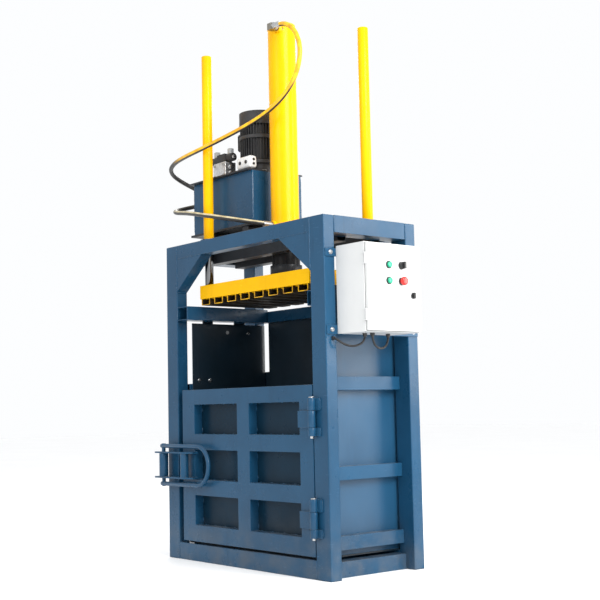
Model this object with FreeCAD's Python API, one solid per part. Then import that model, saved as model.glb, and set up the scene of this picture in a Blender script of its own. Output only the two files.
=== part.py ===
import FreeCAD, Part
import math
import os
from FreeCAD import Vector

# Vertical hydraulic recycling baler, in millimetres.
# Shapes are drawn with X from the left side, Y from the front face and Z from the floor.
# Every piece is then moved so that the origin is the middle of the frame's footprint, on the floor.
# The routes of the hoses and cables are given about that origin.

os.makedirs("parts", exist_ok=True)

# ------------------------------------------------------------------ driving dimensions
FRAME_WIDTH = 1310.0
FRAME_DEPTH = 586.0
FRAME_HEIGHT = 1650.0
POST_WIDTH = 100.0
POST_DEPTH = 65.0
TUBE_WALL = 5.0
TOP_BEAM_HEIGHT = 72.0
SIDE_BEAM_HEIGHT = 80.0
SILL_HEIGHT = 86.0
SIDE_SILL_HEIGHT = 72.0
SIDE_SILL_WIDTH = 70.0
SILL_SETBACK = 55.0
BEARER_WIDTH = 60.0
BEARER_PITCH = 280.0
ARCH_RUN = 233.0
ARCH_DROP = 178.0

SHEET = 5.0
FLOOR_SHEET = 6.0
FLOOR_FRONT = 58.0
WALL_INSET = 15.0
WALL_TOP = 1235.0
WALL_FRONT = 82.0
WALL_REAR = 571.0
REAR_WALL_FRONT = 575.0
REAR_WALL_TOP = 1305.0
REAR_WALL_STEP_Z = 975.0
REAR_WALL_STEP_IN = 35.0
RIB_DEPTH = 50.0
RIB_HEIGHT = 62.0
RIB_BASES = (122.0, 437.0, 849.0)
RAIL_WIDTH = 95.0
RAIL_HEIGHT = 72.0
RAIL_BASE = 1246.0
RIGHT_RAIL_FRONT = 58.0
RAIL_CLEARANCE = 3.0
REAR_RAIL_HEIGHT = 62.0
TAB_SPANS = ((155.0, 222.0), (364.0, 438.0))
TAB_DEPTH = 56.0

DOOR_LEFT = 139.0
DOOR_RIGHT_GAP = 5.0
DOOR_BASE = 99.0
DOOR_TOP = 876.0
DOOR_DEPTH = 50.0
DOOR_BACK_SHEET = 6.0
DOOR_LEFT_STILE = 112.0
DOOR_RIGHT_STILE = 96.0
DOOR_MULLION = 100.0
WINDOW_HEIGHT = 152.0
WINDOW_BASES = (183.0, 415.0, 647.0)
DOOR_WALL = 5.0

HINGE_X_OUT = 12.0
HINGE_Y = -20.0
HINGE_RADIUS = 18.0
HINGE_PIN_RADIUS = 8.0
HINGE_CLEARANCE = 0.05
HINGE_LEAF_THICK = 10.0
HINGE_BASES = (187.0, 642.0)
HINGE_LOWER_KNUCKLE = 38.0
HINGE_DOOR_KNUCKLE = 76.0
HINGE_UPPER_KNUCKLE = 57.0
HINGE_AXIAL_GAP = 1.0
HINGE_PIN_OVERHANG = 10.0
HINGE_PIN_HEAD_LIP = 4.0
HINGE_PIN_HEAD_THICK = 5.0
HINGE_FOOT_LENGTH = 40.0
HINGE_LEAF_LENGTH = 93.0
HINGE_LEAF_STANDOFF = 2.0

LATCH_PIVOT = (14.0, -38.0)
LATCH_PLATE_THICK = 8.0
LATCH_PLATE_BASES = (418.0, 548.0)
LATCH_PLATE_FRONT = -58.0
LATCH_PLATE_LEFT = -44.0
LATCH_PLATE_RIGHT = 280.0
LATCH_PLATE_CORNER = (60.0, 24.0)
LATCH_POST_CLEARANCE = 12.0
LATCH_SPACER_X = 205.0
LATCH_SPACER_RADIUS = 22.0
LATCH_HUB_RADIUS = 24.0
LATCH_PIN_RADIUS = 10.0
LATCH_ROD_RADIUS = 11.0
LATCH_REACH = 412.0
LATCH_ARM_OFFSET = 30.0
LATCH_BEND = 98.0
LATCH_ARM_TAIL = 18.0
LATCH_GAP = 1.0
LATCH_PIN_TIP = 2.0
LATCH_NOTCH_INSET = 6.0

RAM_X = FRAME_WIDTH / 2
RAM_Y = 307.0
PLATEN_WIDTH = 906.0
PLATEN_FRONT = 80.0
PLATEN_REAR = 535.0
PLATEN_RIM_BASE = 1356.0
PLATEN_RIM_TOP = 1427.0
PLATEN_PLATE = 10.0
PLATEN_END_PLATE = 5.0
CHANNEL_COUNT = 8
CHANNEL_WIDTH = 74.0
CHANNEL_HEIGHT = 34.0
CHANNEL_WALL = 4.0
CHANNEL_EDGE = 12.0
PAD_RADIUS = 110.0
STIFFENER_OFFSET = 120.0
STIFFENER_CROSS_OFFSET = 220.0
STIFFENER_END_GAP = 20.0

BARREL_RADIUS = 72.5
BARREL_WALL = 10.0
BARREL_BASE = 1500.0
BARREL_TOP = 2770.0
BARREL_CAP = 25.0
BARREL_CHAMFER = 4.0
ROD_RADIUS = 35.0
ROD_FLANGE_RADIUS = 85.0
ROD_FLANGE_THICK = 25.0
PISTON_THICK = 60.0
PISTON_BASE = 2650.0
GLAND_RADIUS = 82.0
GLAND_FACE_GAP = 3.0
RUNNING_CLEARANCE = 0.05
MOUNT_PLATE_THICK = 25.0
MOUNT_PLATE_HALF = 160.0
BARREL_FLANGE_RADIUS = 125.0
BARREL_FLANGE_THICK = 15.0
FLANGE_BOLT_CIRCLE = 103.0
FLANGE_BOLT_RADIUS = 8.0
FLANGE_BOLT_COUNT = 8
BOLT_CLEARANCE = 0.5
BOLT_HEAD_CORNER_RATIO = 1.75
BOLT_HEAD_HEIGHT_RATIO = 1.3
PORT_RADIUS = 8.0
UPPER_PORT_Z = 2732.0
LOWER_PORT_Z = 1708.0
CROSS_BEAM_WIDTH = 60.0
CROSS_BEAM_HEIGHT = 100.0
CROSS_BEAM_OFFSET = 110.0

GUIDE_OFFSET_X = 425.0
GUIDE_OFFSET_Y = 185.0
GUIDE_ROD_RADIUS = 22.5
GUIDE_ROD_TOP = 2660.0
GUIDE_ROD_CHAMFER = 3.0
SLEEVE_RADIUS = 27.0
SLEEVE_BORE = 24.0
SLEEVE_TOP = 2678.0
SLEEVE_CAP = 6.0
COLLAR_RADIUS = 45.0
COLLAR_HEIGHT = 25.0
COLLAR_PLATE = 12.0
COLLAR_PLATE_MARGIN = 70.0
SLEEVE_CHAMFER = 2.0

TANK_LEFT = -8.0
TANK_RIGHT = 533.0
TANK_FRONT = 190.0
TANK_REAR = 520.0
TANK_BASE = 1735.0
TANK_TOP = 2012.0
TANK_SHEET = 4.0
TANK_CORNER = 8.0
TRAY_THICK = 12.0
TRAY_LIP = 18.0
TANK_FEET_X = (130.0, 440.0)
TANK_FOOT_WIDTH = 50.0
LID_THICK = 8.0
LID_FRONT = 160.0
NECK_RADIUS = 22.0
NECK_HEIGHT = 18.0
CAP_RADIUS = 30.0
CAP_HEIGHT = 20.0
CAP_GAP = 0.4
CAP_CHAMFER = 3.0
FILLER_X = 70.0
FILLER_Y = 430.0
VALVE_X = 165.0
VALVE_Y = 205.0
MANIFOLD_SIZE = (110.0, 70.0, 85.0)
VALVE_BODY_SIZE = (70.0, 50.0, 48.0)
COIL_RADIUS = 22.0
COIL_LENGTHS = (62.0, 48.0)

MOTOR_X = 420.0
MOTOR_Y = 330.0
MOTOR_RADIUS = 92.0
MOTOR_FIN_RADIUS = 105.0
MOTOR_FIN_COUNT = 40
MOTOR_FIN_THICK = 3.0
MOTOR_FLANGE_THICK = 45.0
MOTOR_BODY_TOP = 2290.0
MOTOR_FIN_ROOT = 2.0
MOTOR_FIN_BASE_GAP = 22.0
MOTOR_END_CAP = 12.0
ROTOR_SPACE_RADIUS = 62.0
ROTOR_RADIUS = 58.0
ROTOR_END_GAP = 8.0
TERMINAL_BOX_PROUD = 34.0
TERMINAL_BOX_HALF_WIDTH = 38.0
TERMINAL_BOX_SPAN = (2165.0, 2258.0)
COWL_TOP = 2348.0
COWL_HOLDER_HEIGHT = 8.0
COWL_SLOT_RADII = (26.0, 88.0)
COWL_SLOT_WIDTH = 10.0
SHAFT_TAIL = 20.0
SHAFT_TOP_GAP = 16.0
COWL_RADIUS = 108.0
COWL_SHEET = 3.0
SHAFT_RADIUS = 14.0
FAN_RADIUS = 92.0
FAN_BLADES = 7
FAN_HUB_RADIUS = 30.0
FAN_HEIGHT = 26.0
FAN_BLADE_THICK = 3.0
FAN_CLEARANCE = 8.0
COWL_SLOT_COUNT = 16
PUMP_RADIUS = 55.0
PUMP_LENGTH = 120.0
PUMP_HANGER_WALL = 5.0
PUMP_SHAFT_GAP = 2.0

CABINET_BACK_GAP = 6.0
CABINET_DEPTH = 186.0
CABINET_FRONT = 68.0
CABINET_REAR = 405.0
CABINET_BASE = 1102.0
CABINET_TOP = 1504.0
CABINET_SHEET = 3.0
CABINET_DOOR_THICK = 16.0
CABINET_DOOR_MARGIN = 5.0
CABINET_DOOR_GAP = 0.5
GEAR_PLATE_THICK = 12.0
GEAR_PLATE_MARGIN = (25.0, 30.0)
BREAKER_COUNT = 4
BREAKER_SIZE = (80.0, 48.0, 90.0)
BREAKER_PITCH = 62.0
BREAKER_START = 45.0
BREAKER_DROP = 90.0
TERMINALS_SIZE = (48.0, 240.0, 50.0)
TERMINALS_RISE = 70.0
CABINET_HINGE_RADIUS = 5.0
CABINET_HINGE_PIN_RADIUS = 2.5
CABINET_HINGE_LUG_RADIUS = 4.2
CABINET_HINGE_LUG_THICK = 6.0
CABINET_HINGE_LENGTH = 40.0
CABINET_HINGE_INSET = 55.0
CABINET_HINGE_SIDE = 4.5
CABINET_HINGE_FORWARD = 8.0
CABINET_HINGE_GAP = 0.5
CABINET_HINGE_ARM = 12.0
BUTTON_COLUMNS = (205.0, 283.0)
BUTTON_ROWS = (1333.0, 1405.0)
BEZEL_RADIUS = 18.0
BEZEL_DEPTH = 5.0
KNOB_LIFT = 1.0
KNOB_RADIUS = 16.0
KNOB_THICK = 12.0
GRIP_LENGTH = 25.0
GRIP_HALF_WIDTH = 5.0
BUTTON_RADIUS = 13.0
BUTTON_CLEARANCE = 0.4
BUTTON_PROUD = 7.0
STEM_DEPTH = 30.0
ESTOP_RADIUS = 20.0
ESTOP_STANDOFF = 8.0
ESTOP_THICK = 16.0
ESTOP_ROUNDING = 6.0
LOCK_RADIUS = 11.0
LOCK_Y = 352.0
LOCK_Z = 1270.0
LOCK_PROUD = 4.0
LOCK_WING = (14.0, 4.0, 14.0)
STRAP_END_GAP = 5.0
STRAP_SPANS = ((1100.0, 1142.0), (1456.0, 1494.0))

HOSE_RADIUS = 12.0
CABLE_RADIUS = 5.0
GLAND_NUT_RADIUS = 10.0
FITTING_RADIUS = 15.0
ELBOW_BLOCK = 34.0
ELBOW_OFFSET = 47.0
BEND_SHARE = 0.45

TINY = 0.01

# ------------------------------------------------------------------ derived places
UP = Vector(0, 0, 1)
RIGHT = Vector(1, 0, 0)
LEFT = Vector(-1, 0, 0)
BACK = Vector(0, 1, 0)
TO_ORIGIN = Vector(-FRAME_WIDTH / 2, -FRAME_DEPTH / 2, 0)
INNER_LEFT = POST_WIDTH
INNER_RIGHT = FRAME_WIDTH - POST_WIDTH
REAR_POST_FRONT = FRAME_DEPTH - POST_DEPTH
TOP_BEAM_BASE = FRAME_HEIGHT - TOP_BEAM_HEIGHT
SIDE_BEAM_BASE = FRAME_HEIGHT - SIDE_BEAM_HEIGHT
FLOOR_TOP = SILL_HEIGHT + FLOOR_SHEET
LEFT_WALL_OUT = INNER_LEFT + WALL_INSET
RAIL_TOP = RAIL_BASE + RAIL_HEIGHT
DOOR_RIGHT = INNER_RIGHT - DOOR_RIGHT_GAP
HINGE_X = INNER_RIGHT + HINGE_X_OUT
PLATEN_LEFT = RAM_X - PLATEN_WIDTH / 2
PLATEN_RIGHT = RAM_X + PLATEN_WIDTH / 2
GUIDES = ((RAM_X - GUIDE_OFFSET_X, RAM_Y - GUIDE_OFFSET_Y),
          (RAM_X + GUIDE_OFFSET_X, RAM_Y + GUIDE_OFFSET_Y))
COLLAR_TOP = FRAME_HEIGHT + COLLAR_HEIGHT
MOUNT_PLATE_TOP = FRAME_HEIGHT + MOUNT_PLATE_THICK
LID_TOP = TANK_TOP + LID_THICK
CABINET_BACK = FRAME_WIDTH + CABINET_BACK_GAP
CABINET_FACE = CABINET_BACK + CABINET_DEPTH
CABINET_DOOR_FACE = CABINET_FACE + CABINET_DOOR_GAP + CABINET_DOOR_THICK
CABINET_HINGE_X = CABINET_FACE + CABINET_HINGE_FORWARD
CABINET_HINGE_Y = CABINET_FRONT + CABINET_DOOR_MARGIN - CABINET_HINGE_SIDE
CABINET_HINGE_BASES = (CABINET_BASE + CABINET_HINGE_INSET,
                       CABINET_TOP - CABINET_HINGE_INSET - CABINET_HINGE_LENGTH)


# ------------------------------------------------------------------ shape helpers
def block(x0, x1, y0, y1, z0, z1):
    return Part.makeBox(x1 - x0, y1 - y0, z1 - z0, Vector(x0, y0, z0))


def bar(radius, x, y, z, length, direction=UP):
    return Part.makeCylinder(radius, length, Vector(x, y, z), direction)


def ring(outer, inner, x, y, z, length, direction=UP):
    return bar(outer, x, y, z, length, direction).cut(bar(inner, x, y, z, length, direction))


def tube_along(axis, x0, x1, y0, y1, z0, z1, wall=TUBE_WALL):
    """A rectangular tube, open at both ends of the given axis."""
    grow = {"X": (0, wall, wall), "Y": (wall, 0, wall), "Z": (wall, wall, 0)}[axis]
    inner = block(x0 + grow[0], x1 - grow[0], y0 + grow[1], y1 - grow[1], z0 + grow[2], z1 - grow[2])
    return block(x0, x1, y0, y1, z0, z1).cut(inner)


def prism_y(points, y0, y1):
    """A polygon of (x, z) points, extruded from y0 to y1."""
    corners = [Vector(x, y0, z) for x, z in points]
    return Part.Face(Part.makePolygon(corners + corners[:1])).extrude(Vector(0, y1 - y0, 0))


def prism_z(points, z0, z1):
    """A polygon of (x, y) points, extruded from z0 to z1."""
    corners = [Vector(x, y, z0) for x, y in points]
    return Part.Face(Part.makePolygon(corners + corners[:1])).extrude(Vector(0, 0, z1 - z0))


def fuse(shapes):
    joined = shapes[0].multiFuse(shapes[1:]) if len(shapes) > 1 else shapes[0]
    return joined.removeSplitter()


def mirrored(shape):
    """The same piece on the other side of the frame's middle plane."""
    return shape.mirror(Vector(FRAME_WIDTH / 2, 0, 0), RIGHT)


def save(node, *solids):
    shape = solids[0] if len(solids) == 1 else Part.makeCompound(list(solids))
    shape.translated(TO_ORIGIN).exportStep("parts/%s.step" % node)


# ------------------------------------------------------------------ frame
def post(x0, y0):
    outer = block(x0, x0 + POST_WIDTH, y0, y0 + POST_DEPTH, 0, FRAME_HEIGHT)
    inner = block(x0 + TUBE_WALL, x0 + POST_WIDTH - TUBE_WALL, y0 + TUBE_WALL,
                  y0 + POST_DEPTH - TUBE_WALL, 0, FRAME_HEIGHT - TUBE_WALL)
    return outer.cut(inner)


def arch_gusset():
    """Folded plate that fills the corner between a front post and the top beam."""
    low = FRAME_HEIGHT - TOP_BEAM_HEIGHT - ARCH_DROP
    corner = [(INNER_LEFT, low), (INNER_LEFT + ARCH_RUN, TOP_BEAM_BASE), (INNER_LEFT, TOP_BEAM_BASE)]
    slope = math.hypot(ARCH_RUN, ARCH_DROP)
    shift_z = TUBE_WALL * slope / ARCH_RUN
    shift_x = TUBE_WALL * slope / ARCH_DROP
    hollow = [(INNER_LEFT, low + shift_z), (INNER_LEFT + ARCH_RUN - shift_x, TOP_BEAM_BASE),
              (INNER_LEFT, TOP_BEAM_BASE)]
    return prism_y(corner, 0, POST_DEPTH).cut(prism_y(hollow, TUBE_WALL, POST_DEPTH - TUBE_WALL))


def build_frame():
    save("front_posts", post(0, 0), post(INNER_RIGHT, 0))
    save("rear_posts", post(0, REAR_POST_FRONT), post(INNER_RIGHT, REAR_POST_FRONT))
    sills = []
    for name, y0 in (("front", 0), ("rear", REAR_POST_FRONT)):
        save(name + "_top_beam", tube_along("X", INNER_LEFT, INNER_RIGHT, y0, y0 + POST_DEPTH,
                                            TOP_BEAM_BASE, FRAME_HEIGHT))
        sills.append(tube_along("X", INNER_LEFT, INNER_RIGHT, y0, y0 + POST_DEPTH, 0, SILL_HEIGHT))
    for offset in (-BEARER_PITCH, 0, BEARER_PITCH):
        middle = FRAME_WIDTH / 2 + offset
        sills.append(tube_along("Y", middle - BEARER_WIDTH / 2, middle + BEARER_WIDTH / 2, POST_DEPTH,
                                REAR_POST_FRONT, 0, SILL_HEIGHT))
    side_beam = tube_along("Y", 0, POST_WIDTH, POST_DEPTH, REAR_POST_FRONT, SIDE_BEAM_BASE, FRAME_HEIGHT)
    save("side_top_beams", side_beam, mirrored(side_beam))
    side_sill = tube_along("Y", SILL_SETBACK, SILL_SETBACK + SIDE_SILL_WIDTH, POST_DEPTH, REAR_POST_FRONT,
                           0, SIDE_SILL_HEIGHT)
    save("base_sills", *(sills + [side_sill, mirrored(side_sill)]))
    save("arch_gussets", arch_gusset(), mirrored(arch_gusset()))


def build_chamber():
    floor_edge = LEFT_WALL_OUT - SHEET
    rear_edge = REAR_WALL_FRONT + SHEET
    save("floor_plate", block(floor_edge, FRAME_WIDTH - floor_edge, FLOOR_FRONT, rear_edge,
                              SILL_HEIGHT, FLOOR_TOP))
    wall = block(LEFT_WALL_OUT, LEFT_WALL_OUT + SHEET, WALL_FRONT, WALL_REAR, FLOOR_TOP, WALL_TOP)
    tabs = [block(LEFT_WALL_OUT - SHEET, LEFT_WALL_OUT, y0, y1, RAIL_BASE - TAB_DEPTH, RAIL_BASE)
            for y0, y1 in TAB_SPANS]
    side_wall = fuse([wall] + tabs)
    save("side_walls", side_wall, mirrored(side_wall))
    step_left = LEFT_WALL_OUT + REAR_WALL_STEP_IN
    step_right = FRAME_WIDTH - step_left
    outline = [(floor_edge, FLOOR_TOP), (FRAME_WIDTH - floor_edge, FLOOR_TOP),
               (FRAME_WIDTH - floor_edge, REAR_WALL_STEP_Z), (step_right, REAR_WALL_STEP_Z),
               (step_right, REAR_WALL_TOP), (step_left, REAR_WALL_TOP),
               (step_left, REAR_WALL_STEP_Z), (floor_edge, REAR_WALL_STEP_Z)]
    save("rear_wall", prism_y(outline, REAR_WALL_FRONT, rear_edge))
    ribs = [tube_along("Y", LEFT_WALL_OUT - RIB_DEPTH, LEFT_WALL_OUT, POST_DEPTH, REAR_POST_FRONT,
                       base, base + RIB_HEIGHT) for base in RIB_BASES]
    save("wall_ribs", *(ribs + [mirrored(rib) for rib in ribs]))
    rear_rail_front = PLATEN_REAR + RAIL_CLEARANCE
    rails = [tube_along("Y", INNER_LEFT, INNER_LEFT + RAIL_WIDTH, front, rear_rail_front, RAIL_BASE, RAIL_TOP)
             for front in (0, RIGHT_RAIL_FRONT)]
    save("side_rails", rails[0], mirrored(rails[1]))
    save("rear_rail", tube_along("X", INNER_LEFT, INNER_RIGHT, rear_rail_front, REAR_WALL_FRONT,
                                 RAIL_BASE, RAIL_BASE + REAR_RAIL_HEIGHT))


# ------------------------------------------------------------------ door
def build_door():
    edge = DOOR_WALL
    mullion = (DOOR_LEFT + DOOR_RIGHT) / 2
    columns = ((DOOR_LEFT + DOOR_LEFT_STILE, mullion - DOOR_MULLION / 2),
               (mullion + DOOR_MULLION / 2, DOOR_RIGHT - DOOR_RIGHT_STILE))
    grid = block(DOOR_LEFT, DOOR_RIGHT, 0, DOOR_DEPTH, DOOR_BASE, DOOR_TOP)
    pocket = block(DOOR_LEFT + edge, DOOR_RIGHT - edge, edge, DOOR_DEPTH, DOOR_BASE + edge, DOOR_TOP - edge)
    for x0, x1 in columns:
        for z0 in WINDOW_BASES:
            z1 = z0 + WINDOW_HEIGHT
            grid = grid.cut(block(x0, x1, 0, DOOR_DEPTH, z0, z1))
            pocket = pocket.cut(block(x0 - edge, x1 + edge, edge, DOOR_DEPTH, z0 - edge, z1 + edge))
    save("door_grid", grid.cut(pocket))
    save("door_back_plate", block(DOOR_LEFT, DOOR_RIGHT, DOOR_DEPTH, DOOR_DEPTH + DOOR_BACK_SHEET,
                                  DOOR_BASE, DOOR_TOP))


def knuckle(z0, height):
    return ring(HINGE_RADIUS, HINGE_PIN_RADIUS + HINGE_CLEARANCE, HINGE_X, HINGE_Y, z0, height)


def hinge_bore(z0, height):
    return bar(HINGE_PIN_RADIUS + HINGE_CLEARANCE, HINGE_X, HINGE_Y, z0, height)


def build_hinges():
    brackets, leaves, pins = [], [], []
    for base in HINGE_BASES:
        door_base = base + HINGE_LOWER_KNUCKLE + HINGE_AXIAL_GAP
        upper_base = door_base + HINGE_DOOR_KNUCKLE + HINGE_AXIAL_GAP
        for z0, height in ((base, HINGE_LOWER_KNUCKLE), (upper_base, HINGE_UPPER_KNUCKLE)):
            foot = block(HINGE_X, HINGE_X + HINGE_FOOT_LENGTH, -HINGE_LEAF_THICK, 0, z0, z0 + height)
            brackets.append(fuse([knuckle(z0, height), foot]).cut(hinge_bore(z0, height)))
        z0, height = door_base, HINGE_DOOR_KNUCKLE
        standoff = HINGE_LEAF_STANDOFF
        leaf_left = DOOR_RIGHT - HINGE_LEAF_LENGTH
        leaf = block(leaf_left, HINGE_X, -HINGE_LEAF_THICK - standoff, -standoff, z0, z0 + height)
        pad = block(leaf_left, DOOR_RIGHT - standoff, -standoff, 0, z0, z0 + height)
        leaves.append(fuse([knuckle(z0, height), leaf, pad]).cut(hinge_bore(z0, height)))
        pin_base = base - HINGE_PIN_OVERHANG
        pin_top = upper_base + HINGE_UPPER_KNUCKLE
        shank = bar(HINGE_PIN_RADIUS, HINGE_X, HINGE_Y, pin_base, pin_top - pin_base)
        head = bar(HINGE_PIN_RADIUS + HINGE_PIN_HEAD_LIP, HINGE_X, HINGE_Y, pin_top, HINGE_PIN_HEAD_THICK)
        pins.append(fuse([shank, head]))
    save("frame_hinge_knuckles", *brackets)
    save("door_hinge_leaves", *leaves)
    save("hinge_pins", *pins)


# ------------------------------------------------------------------ latch
def build_latch():
    px, py = LATCH_PIVOT
    notch = DOOR_LEFT + LATCH_NOTCH_INSET
    cut_x, cut_y = LATCH_PLATE_CORNER
    outline = [(LATCH_PLATE_LEFT, LATCH_PLATE_FRONT), (LATCH_PLATE_RIGHT - cut_x, LATCH_PLATE_FRONT),
               (LATCH_PLATE_RIGHT, LATCH_PLATE_FRONT + cut_y), (LATCH_PLATE_RIGHT, 0), (notch, 0), (notch, -LATCH_POST_CLEARANCE),
               (LATCH_PLATE_LEFT, -LATCH_POST_CLEARANCE)]
    low, high = LATCH_PLATE_BASES
    low_top = low + LATCH_PLATE_THICK
    plates = [prism_z(outline, z0, z0 + LATCH_PLATE_THICK) for z0 in (low, high)]
    spacer_y = (LATCH_PLATE_FRONT - LATCH_POST_CLEARANCE) / 2
    spacer = bar(LATCH_SPACER_RADIUS, LATCH_SPACER_X, spacer_y, low_top, high - low_top)
    bore = bar(LATCH_PIN_RADIUS + HINGE_CLEARANCE, px, py, low, high + LATCH_PLATE_THICK - low)
    save("latch_bracket", fuse(plates + [spacer]).cut(bore))

    arm_low = low - LATCH_ARM_OFFSET
    arm_high = high + LATCH_PLATE_THICK + LATCH_ARM_OFFSET
    reach = px + LATCH_REACH
    bend = LATCH_BEND
    bow = bend * (1 - math.sqrt(0.5))
    tail = px - LATCH_ARM_TAIL
    path = Part.Wire([
        Part.LineSegment(Vector(tail, py, arm_low), Vector(reach - bend, py, arm_low)).toShape(),
        Part.Arc(Vector(reach - bend, py, arm_low), Vector(reach - bow, py, arm_low + bow),
                 Vector(reach, py, arm_low + bend)).toShape(),
        Part.LineSegment(Vector(reach, py, arm_low + bend), Vector(reach, py, arm_high - bend)).toShape(),
        Part.Arc(Vector(reach, py, arm_high - bend), Vector(reach - bow, py, arm_high - bow),
                 Vector(reach - bend, py, arm_high)).toShape(),
        Part.LineSegment(Vector(reach - bend, py, arm_high), Vector(tail, py, arm_high)).toShape()])
    section = Part.Wire([Part.Circle(Vector(tail, py, arm_low), RIGHT, LATCH_ROD_RADIUS).toShape()])
    loop = path.makePipeShell([section], True, True)
    tip = LATCH_ROD_RADIUS + LATCH_PIN_TIP
    pin = bar(LATCH_PIN_RADIUS, px, py, arm_low - tip, arm_high - arm_low + 2 * tip)
    hub = bar(LATCH_HUB_RADIUS, px, py, low_top + LATCH_GAP, high - low_top - 2 * LATCH_GAP)
    save("latch_handle", fuse([pin, hub, loop]))


# ------------------------------------------------------------------ ram
def build_platen():
    x0, x1, y0, y1 = PLATEN_LEFT, PLATEN_RIGHT, PLATEN_FRONT, PLATEN_REAR
    z0, z1 = PLATEN_RIM_BASE, PLATEN_RIM_TOP
    deck_top = z0 + PLATEN_PLATE
    deck = block(x0, x1, y0, y1, z0, deck_top)
    rim = block(x0, x1, y0, y1, deck_top, z1).cut(
        block(x0 + PLATEN_END_PLATE, x1 - PLATEN_END_PLATE, y0 + PLATEN_PLATE, y1 - PLATEN_PLATE, deck_top, z1))
    ribs = []
    for side in (-1, 1):
        middle = RAM_Y + side * STIFFENER_OFFSET
        span = GUIDE_OFFSET_X - GUIDE_ROD_RADIUS - STIFFENER_END_GAP
        ribs.append(block(RAM_X - span, RAM_X + span, middle - PLATEN_PLATE / 2, middle + PLATEN_PLATE / 2,
                          deck_top, z1))
        cross = RAM_X + side * STIFFENER_CROSS_OFFSET
        ribs.append(block(cross - PLATEN_PLATE / 2, cross + PLATEN_PLATE / 2, y0 + PLATEN_PLATE,
                          y1 - PLATEN_PLATE, deck_top, z1))
    pad = bar(PAD_RADIUS, RAM_X, RAM_Y, deck_top, z1 - deck_top)
    save("platen_frame", fuse([deck, rim, pad] + ribs))
    channels = []
    pitch = (PLATEN_WIDTH - 2 * CHANNEL_EDGE - CHANNEL_WIDTH) / (CHANNEL_COUNT - 1)
    for index in range(CHANNEL_COUNT):
        left = x0 + CHANNEL_EDGE + index * pitch
        outer = block(left, left + CHANNEL_WIDTH, y0, y1, z0 - CHANNEL_HEIGHT, z0)
        inner = block(left + CHANNEL_WALL, left + CHANNEL_WIDTH - CHANNEL_WALL, y0, y1,
                      z0 - CHANNEL_HEIGHT + CHANNEL_WALL, z0)
        corners = [edge for edge in outer.Edges
                   if abs(edge.BoundBox.ZMax - (z0 - CHANNEL_HEIGHT)) < TINY and edge.BoundBox.YLength > TINY]
        channels.append(outer.makeFillet(CHANNEL_WALL, corners).cut(inner))
    save("platen_channels", *channels)
    rods = [bar(GUIDE_ROD_RADIUS, x, y, deck_top, GUIDE_ROD_TOP - deck_top) for x, y in GUIDES]
    save("guide_rods", *[rod.makeChamfer(GUIDE_ROD_CHAMFER, [rod.Edges[0]]) for rod in rods])


def barrel_flange_holes():
    places = []
    for index in range(FLANGE_BOLT_COUNT):
        angle = 2 * math.pi * (index + 0.5) / FLANGE_BOLT_COUNT
        places.append((RAM_X + FLANGE_BOLT_CIRCLE * math.cos(angle),
                       RAM_Y + FLANGE_BOLT_CIRCLE * math.sin(angle)))
    return places


def build_cylinder():
    bore = BARREL_RADIUS - BARREL_WALL
    shell = bar(BARREL_RADIUS, RAM_X, RAM_Y, BARREL_BASE, BARREL_TOP - BARREL_BASE)
    shell = shell.makeChamfer(BARREL_CHAMFER, [shell.Edges[0]])
    flange = bar(BARREL_FLANGE_RADIUS, RAM_X, RAM_Y, MOUNT_PLATE_TOP, BARREL_FLANGE_THICK)
    barrel = fuse([shell, flange])
    barrel = barrel.cut(bar(bore, RAM_X, RAM_Y, BARREL_BASE, BARREL_TOP - BARREL_CAP - BARREL_BASE))
    for x, z in ((RAM_X + ELBOW_OFFSET, UPPER_PORT_Z), (RAM_X, LOWER_PORT_Z)):
        barrel = barrel.cut(bar(PORT_RADIUS, x, RAM_Y - BARREL_RADIUS, z, BARREL_RADIUS, BACK))
    flange_base = FRAME_HEIGHT
    beams = []
    for side in (-1, 1):
        middle = RAM_Y + side * CROSS_BEAM_OFFSET
        beams.append(tube_along("X", INNER_LEFT, INNER_RIGHT, middle - CROSS_BEAM_WIDTH / 2,
                                middle + CROSS_BEAM_WIDTH / 2, FRAME_HEIGHT - CROSS_BEAM_HEIGHT,
                                FRAME_HEIGHT))
    half_y = CROSS_BEAM_OFFSET + CROSS_BEAM_WIDTH / 2
    plate = block(RAM_X - MOUNT_PLATE_HALF, RAM_X + MOUNT_PLATE_HALF, RAM_Y - half_y, RAM_Y + half_y,
                  flange_base, MOUNT_PLATE_TOP)
    plate = plate.cut(bar(BARREL_RADIUS + BOLT_CLEARANCE, RAM_X, RAM_Y, flange_base, MOUNT_PLATE_THICK))
    bolts = []
    for x, y in barrel_flange_holes():
        hole = bar(FLANGE_BOLT_RADIUS + BOLT_CLEARANCE, x, y, flange_base,
                   MOUNT_PLATE_THICK + BARREL_FLANGE_THICK)
        barrel = barrel.cut(hole)
        plate = plate.cut(hole)
        head_base = MOUNT_PLATE_TOP + BARREL_FLANGE_THICK
        bolts.append(bolt(FLANGE_BOLT_RADIUS, x, y, head_base, BARREL_FLANGE_THICK + MOUNT_PLATE_THICK))
    save("cylinder_barrel", barrel)
    save("cylinder_cross_beams", *beams)
    save("cylinder_mount_plate", plate)
    save("cylinder_bolts", *bolts)
    gland_base = PLATEN_RIM_TOP + ROD_FLANGE_THICK + GLAND_FACE_GAP
    save("cylinder_gland", ring(GLAND_RADIUS, ROD_RADIUS + RUNNING_CLEARANCE, RAM_X, RAM_Y, gland_base,
                                BARREL_BASE - gland_base))
    flange = bar(ROD_FLANGE_RADIUS, RAM_X, RAM_Y, PLATEN_RIM_TOP, ROD_FLANGE_THICK)
    rod = bar(ROD_RADIUS, RAM_X, RAM_Y, PLATEN_RIM_TOP, PISTON_BASE - PLATEN_RIM_TOP)
    save("piston_rod", fuse([flange, rod]))
    save("piston", bar(bore - RUNNING_CLEARANCE, RAM_X, RAM_Y, PISTON_BASE, PISTON_THICK))


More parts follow.
